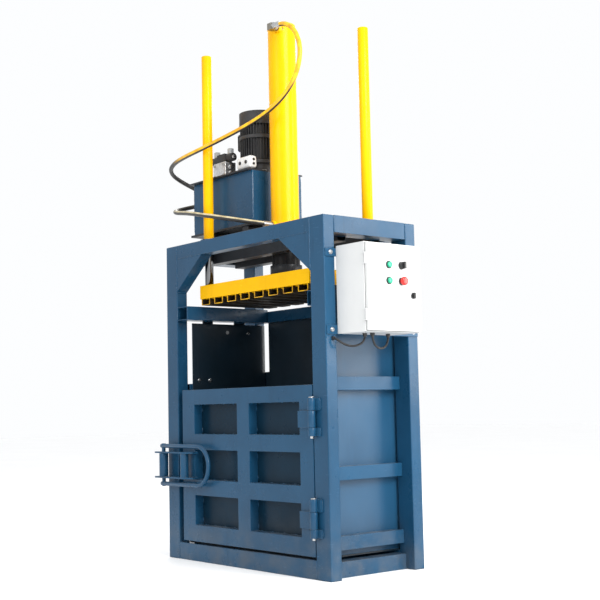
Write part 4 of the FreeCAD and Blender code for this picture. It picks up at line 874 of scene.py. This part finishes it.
def build_terminal_box(centre):
    """The lid of the box on the motor's left side, with a screw near each corner."""
    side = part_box("motor_body")[0].x
    face = side - TERMINAL_LID_THICK
    (front, bottom), (rear, top) = TERMINAL_BOX
    shape = bmesh.new()
    add_box(shape, (face, centre.y + front, bottom), (side + 0.0005, centre.y + rear, top), 0.002)
    from_bmesh(shape, "terminal_box_lid", "frame", "motor_black")
    shape = bmesh.new()
    for y in (front + TERMINAL_SCREW_INSET, rear - TERMINAL_SCREW_INSET):
        for z in (bottom + TERMINAL_SCREW_INSET, top - TERMINAL_SCREW_INSET):
            add_bolt(shape, Vector((face, centre.y + y, z)), LEFT, 0.0042, False)
    from_bmesh(shape, "terminal_box_screws", "frame", "zinc")


LID_BOSS_RISE = 0.018
FILTER_LOW = (-0.275, -0.092, 0.014)
FILTER_HIGH = (-0.155, -0.042, 0.080)
FILTER_FRONT_CAP_INSET = 0.034
FILTER_SIDE_CAP_INSET = 0.022


def build_filter_box():
    """The rounded white housing on the lid by the motor, on a dark foot, with four dark caps."""
    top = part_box("tank_lid")[1].z - LID_BOSS_RISE
    low = Vector(FILTER_LOW) + Vector((0, 0, top))
    high = Vector(FILTER_HIGH) + Vector((0, 0, top))
    shape = bmesh.new()
    add_box(shape, low, high, 0.014, 5)
    from_bmesh(shape, "filter_housing", "frame", "white_plastic")
    shape = bmesh.new()
    add_box(shape, (low.x + 0.02, low.y + 0.008, top),
            (high.x - 0.02, high.y - 0.006, top + 0.016), 0.003)
    for x in (low.x + FILTER_FRONT_CAP_INSET, high.x - FILTER_FRONT_CAP_INSET):
        add_lathe(shape, chamfered(0.0095, 0.003, 0.0080, 0.0045),
                  Vector((x, low.y, (low.z + high.z) / 2)), FORWARD, 28)
    for z in (low.z + FILTER_SIDE_CAP_INSET, high.z - FILTER_SIDE_CAP_INSET):
        add_lathe(shape, chamfered(0.0075, 0.003, 0.0062, 0.0042),
                  Vector((high.x, (low.y + high.y) / 2, z)), RIGHT, 28)
    from_bmesh(shape, "filter_caps", "frame", "black_plastic")


MANIFOLD_SCREW_INSET = 0.014
MANIFOLD_PORTS = (0.026, 0.058)
SOLENOID_PLUG_SIZE = 0.026
SOLENOID_PLUG_INSETS = (0.030, 0.026)
RETURN_FILTER_RADIUS = 0.020
RETURN_FILTER_WAIST = 0.0185
RETURN_FILTER_OFFSET = (-0.075, 0.02)


def build_valve_details():
    low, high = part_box("valve_manifold")
    shape = bmesh.new()
    socket = 0.0032
    cap_screw = [(0, 0), (0.0065, 0), (0.0065, 0.006), (0.0055, 0.007), (socket, 0.007), (socket, 0.003),
                 (0, 0.003)]
    for x in (low.x + MANIFOLD_SCREW_INSET, high.x - MANIFOLD_SCREW_INSET):
        for z in (low.z + MANIFOLD_SCREW_INSET, high.z - MANIFOLD_SCREW_INSET):
            add_lathe(shape, cap_screw, Vector((x, low.y, z)), FORWARD, 24)
    for rise in MANIFOLD_PORTS:
        add_lathe(shape, chamfered(0.012, 0.010, 0.0105, 0.013),
                  Vector((high.x, (low.y + high.y) / 2, low.z + rise)), RIGHT, 6)
    from_bmesh(shape, "manifold_plugs", "frame", "zinc")

    valve_low, valve_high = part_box("solenoid_valve")
    shape = bmesh.new()
    y = (valve_low.y + valve_high.y) / 2
    half = SOLENOID_PLUG_SIZE / 2
    for x in (valve_low.x + SOLENOID_PLUG_INSETS[0], valve_high.x - SOLENOID_PLUG_INSETS[1]):
        add_box(shape, (x - half, y - half, valve_high.z - 0.004),
                (x + half, y + half, valve_high.z + 0.026), 0.003)
    from_bmesh(shape, "solenoid_plugs", "frame", "grey_plastic")
    shape = bmesh.new()
    for x, way in ((valve_low.x, LEFT), (valve_high.x, RIGHT)):
        add_lathe(shape, chamfered(0.011, 0.004, 0.008, 0.008),
                  Vector((x, y, (valve_low.z + valve_high.z) / 2)), way, 24)
    from_bmesh(shape, "solenoid_end_nuts", "frame", "zinc")

    place = Vector(((low.x + high.x) / 2 + RETURN_FILTER_OFFSET[0], y + RETURN_FILTER_OFFSET[1],
                    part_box("tank_lid")[1].z - LID_BOSS_RISE))
    bowl, waist = RETURN_FILTER_RADIUS, RETURN_FILTER_WAIST
    shape = bmesh.new()
    add_lathe(shape, [(0, 0), (bowl, 0), (bowl, 0.006), (waist, 0.010), (waist, 0.070), (bowl, 0.074),
                      (bowl, 0.080), (0.014, 0.086), (0, 0.086)], place, UP, 40)
    from_bmesh(shape, "return_filter", "frame", "white_plastic")


LID_BOLT_INSET = 0.022
LID_BOLT_FRONT_INSET = 0.042
LID_BOLTS_ALONG = 7
LID_BOLTS_ACROSS = 3
TANK_CORNER_INSET = 0.003


def build_tank_details():
    low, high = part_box("tank_lid")
    top = high.z - LID_BOSS_RISE
    left, right = low.x + LID_BOLT_INSET, high.x - LID_BOLT_INSET
    front, rear = low.y + LID_BOLT_FRONT_INSET, high.y - LID_BOLT_INSET
    shape = bmesh.new()
    for index in range(LID_BOLTS_ALONG):
        x = left + index * (right - left) / (LID_BOLTS_ALONG - 1)
        for y in (front, rear):
            add_bolt(shape, Vector((x, y, top)), UP, 0.007)
    for index in range(1, LID_BOLTS_ACROSS + 1):
        y = front + index * (rear - front) / (LID_BOLTS_ACROSS + 1)
        for x in (left, right):
            add_bolt(shape, Vector((x, y, top)), UP, 0.007)
    from_bmesh(shape, "lid_bolts", "frame", "zinc")
    tank_low, tank_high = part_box("oil_tank")
    shape = bmesh.new()
    for x in (tank_low.x + TANK_CORNER_INSET, tank_high.x - TANK_CORNER_INSET):
        for y in (tank_low.y + TANK_CORNER_INSET, tank_high.y - TANK_CORNER_INSET):
            weld_upright(shape, x, y, tank_low.z + 0.01, tank_high.z - 0.01, 0.0028)
    from_bmesh(shape, "tank_welds", "frame", "tank_blue")


ROD_FLANGE_THICK = 0.025
ROD_BOLT_CIRCLE = 0.066
BARREL_FOOT_WELD_Z = 1.6915
BARREL_CAP_WELD_DROP = 0.026
PORT_PLACES = ((0.047, -0.036, 2.732), (0.0, -0.056, 1.708))
PLATEN_SEAM_INSET = 0.0115
CHANNEL_COUNT = 8
CHANNEL_WIDTH = 0.074
CHANNEL_BEADS = (0.02, 0.075)
GUIDE_ROD_RADIUS = 0.0225
GUIDE_ROD_FOOT = 0.012


def build_rod_bolts():
    low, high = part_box("piston_rod")
    centre = Vector(((low.x + high.x) / 2, (low.y + high.y) / 2, low.z + ROD_FLANGE_THICK - 0.0002))
    shape = bmesh.new()
    for _, spot in round_points(centre, ROD_BOLT_CIRCLE, 8, math.radians(22.5)):
        add_bolt(shape, spot, UP, 0.012)
    from_bmesh(shape, "rod_flange_bolts", "ram", "zinc")
    return centre


def build_barrel_details(axis):
    """Welds round the barrel's foot and cap, and the bosses of its two ports."""
    barrel_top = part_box("cylinder_barrel")[1].z
    shape = bmesh.new()
    add_weld_ring(shape, Vector((axis.x, axis.y, BARREL_FOOT_WELD_Z)), 0.0728, UP, 0.005)
    add_weld_ring(shape, Vector((axis.x, axis.y, barrel_top - BARREL_CAP_WELD_DROP)), 0.0722, UP, 0.0024)
    from_bmesh(shape, "barrel_welds", "frame", "ram_yellow")
    shape = bmesh.new()
    for place in PORT_PLACES:
        add_lathe(shape, chamfered(0.021, 0.014, 0.0185, 0.017), Vector(place), FORWARD, 36)
    from_bmesh(shape, "port_bosses", "frame", "ram_yellow")


def build_platen_welds():
    """The seam under the platen's front rim, and short beads at both ends of each channel."""
    low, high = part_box("platen_frame")
    y, z = low.y + PLATEN_SEAM_INSET, low.z + PLATEN_SEAM_INSET
    shape = bmesh.new()
    weld_level(shape, low.x + 0.01, high.x - 0.01, y, z, 0.003)
    channel_low, channel_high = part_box("platen_channels")
    pitch = (channel_high.x - channel_low.x - CHANNEL_WIDTH) / (CHANNEL_COUNT - 1)
    near, far = CHANNEL_BEADS
    z = channel_high.z - 0.001
    for index in range(CHANNEL_COUNT):
        left = channel_low.x + index * pitch
        for x in (left, left + CHANNEL_WIDTH):
            add_weld(shape, (x, channel_low.y + near, z), (x, channel_low.y + far, z), 0.0032)
            add_weld(shape, (x, channel_high.y - far, z), (x, channel_high.y - near, z), 0.0032)
    from_bmesh(shape, "platen_welds", "ram", "weld_amber")


def build_rod_welds():
    low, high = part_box("guide_rods")
    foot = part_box("platen_frame")[0].z + GUIDE_ROD_FOOT
    rod = GUIDE_ROD_RADIUS
    shape = bmesh.new()
    for x, y in ((low.x + rod, low.y + rod), (high.x - rod, high.y - rod)):
        add_weld_ring(shape, Vector((x, y, foot)), rod + 0.001, UP, 0.004)
    from_bmesh(shape, "rod_welds", "ram", "weld_amber")


def build_ram_details():
    axis = build_rod_bolts()
    build_barrel_details(axis)
    build_platen_welds()
    build_rod_welds()


FRAME_BEAD = 0.0042
POST_WIDTH = 0.1
BEAM_SEAM = 0.078
CORNER_SEAMS = ((-0.29, -0.23), (0.23, 0.29))
CORNER_SEAM_Z = 1.6502
SIDE_SEAMS = (-0.228, 0.228)
GUSSET_RUN = 0.233
GUSSET_DROP = 0.178
RIB_BASES = (0.122, 0.437, 0.849)
RIB_INSET = 0.065
RIB_FRONT = -0.2275
FRAME_KNUCKLES = ((0.187, 0.225), (0.303, 0.360), (0.642, 0.680), (0.758, 0.815))
KNUCKLE_FRONT = -0.2945


def add_post_welds(shape):
    """Beads where the sill and the top beams meet the posts."""
    post_low, post_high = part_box("front_posts")
    beam_low, beam_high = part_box("front_top_beam")
    sill_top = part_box("base_sills")[1].z + 0.001
    front = post_low.y + 0.001
    for x in (post_low.x + POST_WIDTH, post_high.x - POST_WIDTH):
        weld_upright(shape, x, front, 0.004, 0.084, FRAME_BEAD)
        weld_upright(shape, x, front, beam_low.z - 0.176, beam_high.z - 0.004, FRAME_BEAD)
        add_weld(shape, (x, front + 0.004, sill_top), (x, front + 0.060, sill_top), FRAME_BEAD)
    for side, way in ((post_low.x, 1), (post_high.x, -1)):
        x = side + way * 0.001
        for y in SIDE_SEAMS:
            weld_upright(shape, x, y, beam_high.z - BEAM_SEAM, beam_high.z - 0.004, FRAME_BEAD)
        for front_y, rear_y in CORNER_SEAMS:
            y = (front_y + rear_y) / 2
            weld_level(shape, side + way * 0.004, side + way * 0.096, y, CORNER_SEAM_Z, 0.0012)


def add_gusset_welds(shape):
    """Beads along the top and the foot of each arch gusset."""
    post_low, post_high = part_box("front_posts")
    beam_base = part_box("front_top_beam")[0].z
    front = post_low.y + 0.001
    foot = beam_base - GUSSET_DROP - 0.001
    for x, way in ((post_low.x + POST_WIDTH, 1), (post_high.x - POST_WIDTH, -1)):
        weld_level(shape, x + way * GUSSET_RUN, x + way * 0.002, front, beam_base, 0.003)
        seam_x = x + way * 0.003
        add_weld(shape, (seam_x, front + 0.06, foot), (seam_x, front + 0.004, foot), 0.004)


def add_side_welds(shape):
    """Beads on the left rail and on the front ends of the wall ribs."""
    post_low, post_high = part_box("front_posts")
    rail_low, rail_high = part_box("side_rails")
    front = post_low.y + 0.001
    x = post_low.x + POST_WIDTH + 0.002
    weld_upright(shape, x, front, rail_low.z, rail_high.z, FRAME_BEAD)
    for base in RIB_BASES:
        for side, way in ((post_low.x + RIB_INSET, 1), (post_high.x - RIB_INSET, -1)):
            x = side + way * 0.002
            weld_upright(shape, x, RIB_FRONT, base + 0.004, base + 0.058, 0.0035)


def build_frame_welds():
    """Beads where sills, beams, gussets, rails and brackets meet the frame."""
    shape = bmesh.new()
    add_post_welds(shape)
    add_gusset_welds(shape)
    add_side_welds(shape)
    low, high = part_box("cylinder_mount_plate")
    z = low.z + 0.002
    for y in (low.y, high.y):
        weld_level(shape, low.x + 0.02, high.x - 0.02, y, z, 0.004)
    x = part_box("frame_hinge_knuckles")[1].x - 0.0006
    for bottom, top in FRAME_KNUCKLES:
        weld_upright(shape, x, KNUCKLE_FRONT, bottom + 0.003, top - 0.003, 0.0034)
    from_bmesh(shape, "frame_welds", "frame", "weld_blue")


RECESS_BASES = (0.183, 0.415, 0.647)
RECESS_HEIGHT = 0.152
RECESS_LEFT_MARGIN = 0.112
RECESS_RIGHT_MARGIN = 0.096
MIDDLE_BAR_HALF = 0.050
LEVEL_TACKS = (0.06, 0.28, 0.52, 0.74, 0.93)
LEVEL_TACK_HALF = 0.009
UPRIGHT_TACKS = (0.14, 0.82)
UPRIGHT_TACK_HALF = 0.010
TACK = 0.0034
FINE_TACK = 0.0030


def build_recess_tacks():
    """Short tack welds round the foot of each recess in the door."""
    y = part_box("door_back_plate")[0].y - 0.0005
    low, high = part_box("door_grid")
    middle = (low.x + high.x) / 2
    columns = ((low.x + RECESS_LEFT_MARGIN, middle - MIDDLE_BAR_HALF),
               (middle + MIDDLE_BAR_HALF, high.x - RECESS_RIGHT_MARGIN))
    shape = bmesh.new()
    for left, right in columns:
        for bottom in RECESS_BASES:
            top = bottom + RECESS_HEIGHT
            for share in LEVEL_TACKS:
                x = left + share * (right - left)
                start, end = x - LEVEL_TACK_HALF, x + LEVEL_TACK_HALF
                weld_level(shape, start, end, y, bottom, TACK)
                weld_level(shape, start, end, y, top, FINE_TACK)
            for share in UPRIGHT_TACKS:
                z = bottom + share * RECESS_HEIGHT
                start, end = z - UPRIGHT_TACK_HALF, z + UPRIGHT_TACK_HALF
                weld_upright(shape, left, y, start, end, TACK)
                weld_upright(shape, right, y, start, end, FINE_TACK)
    from_bmesh(shape, "recess_tacks", "door", "weld_blue")


BRACKET_PLATE_THICK = 0.008
LEAF_BASES = (0.226, 0.681)
LEAF_HEIGHT = 0.076
LEAF_KNUCKLE_REACH = 0.047
DOOR_BEAD = 0.0032
WALL_SHEET = 0.0100
WALL_BOLTS = ((-0.17, 0.93), (-0.10, 0.93), (-0.17, 0.79), (0.02, 1.19), (0.16, 1.19))


def build_door_welds():
    """Beads on the latch bracket's plates and round the door's hinge leaves."""
    low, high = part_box("latch_bracket")
    door_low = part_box("door_grid")[0]
    shape = bmesh.new()
    y = door_low.y - 0.0005
    for z in (low.z, low.z + BRACKET_PLATE_THICK, high.z - BRACKET_PLATE_THICK, high.z):
        weld_level(shape, door_low.x + 0.012, high.x - 0.004, y, z, DOOR_BEAD)
    leaf_low, leaf_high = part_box("door_hinge_leaves")
    y = door_low.y - 0.0025
    for bottom in LEAF_BASES:
        for z in (bottom, bottom + LEAF_HEIGHT):
            weld_level(shape, leaf_low.x + 0.004, leaf_high.x - LEAF_KNUCKLE_REACH, y, z, DOOR_BEAD)
        weld_upright(shape, leaf_low.x, y, bottom + 0.004, bottom + LEAF_HEIGHT - 0.004, DOOR_BEAD)
    from_bmesh(shape, "door_welds", "door", "weld_blue")


def build_wall_bolts():
    """Bolts through the side walls, with their heads inside the chamber."""
    low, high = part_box("side_walls")
    shape = bmesh.new()
    for y, z in WALL_BOLTS:
        add_bolt(shape, Vector((low.x + WALL_SHEET, y, z)), RIGHT, 0.009)
        add_bolt(shape, Vector((high.x - WALL_SHEET, y, z)), LEFT, 0.009)
    from_bmesh(shape, "wall_bolts", "frame", "zinc")


# ------------------------------------------------------------------ stage
FLOOR_SIZE = 60.0
BACKDROP = (0.98, 0.99, 1.0, 1.0)
WARM_WHITE = (1.0, 0.99, 0.97)
WARMER_WHITE = (1.0, 0.97, 0.92)
PLAIN_WHITE = (1.0, 1.0, 1.0)
AREA_LIGHTS = (
    ("key", (5.4, -0.6, 3.6), (0.3, 0.0, 1.3), (2.8, 2.8), 400.0, WARM_WHITE),
    ("side", (4.0, 3.6, 2.3), (0.5, 0.0, 1.3), (2.2, 3.0), 150.0, WARMER_WHITE),
    ("front", (0.6, -5.6, 3.4), (0.0, 0.0, 1.5), (2.4, 2.4), 60.0, WARM_WHITE),
    ("rim", (-4.0, 3.6, 4.4), (0.0, 0.0, 1.6), (2.4, 2.4), 110.0, PLAIN_WHITE))


def add_area_light(name, place, aim, size, power, colour):
    light = bpy.data.lights.new(name, "AREA")
    light.shape = "RECTANGLE"
    light.size, light.size_y = size
    light.energy = power
    light.color = colour
    lamp = bpy.data.objects.new(name, light)
    lamp.location = place
    lamp.rotation_euler = (Vector(aim) - Vector(place)).to_track_quat("-Z", "Y").to_euler()
    bpy.context.scene.collection.objects.link(lamp)


def build_stage():
    bpy.ops.mesh.primitive_plane_add(size=FLOOR_SIZE, location=(0.0, 0.0, 0.0))
    floor = bpy.context.active_object
    floor.name = "pale_floor"
    floor.data.materials.append(floor_finish())

    world = bpy.data.worlds.new("studio")
    bpy.context.scene.world = world
    world.use_nodes = True
    background = world.node_tree.nodes["Background"]
    background.inputs["Color"].default_value = BACKDROP
    background.inputs["Strength"].default_value = 1.0
    bpy.context.scene.view_settings.view_transform = "Standard"

    for settings in AREA_LIGHTS:
        add_area_light(*settings)


def build_camera():
    a, e, r = CAMERA_AZIMUTH, CAMERA_TILT, CAMERA_ROLL
    forward = Vector((-math.sin(a) * math.cos(e), math.cos(a) * math.cos(e), math.sin(e)))
    level = forward.cross(Vector((0, 0, 1))).normalized()
    above = level.cross(forward)
    right = math.cos(r) * level + math.sin(r) * above
    up = math.cos(r) * above - math.sin(r) * level
    data = bpy.data.cameras.new("view")
    data.lens = CAMERA_LENS
    data.sensor_width = CAMERA_SENSOR
    camera = bpy.data.objects.new("view", data)
    bpy.context.scene.collection.objects.link(camera)
    turn = Matrix((right, up, -forward)).transposed()
    camera.matrix_world = Matrix.Translation(CAMERA_PLACE) @ turn.to_4x4()
    bpy.context.scene.camera = camera


build_camera()
build_cords()
dress_nodes()
build_ferrules()
build_buttons()
build_bezels()
build_selector_mark()
build_glands()
build_cabinet_details()
build_motor_details()
build_filter_box()
build_valve_details()
build_tank_details()
build_ram_details()
build_frame_welds()
build_door_welds()
build_recess_tacks()
build_wall_bolts()
build_stage()
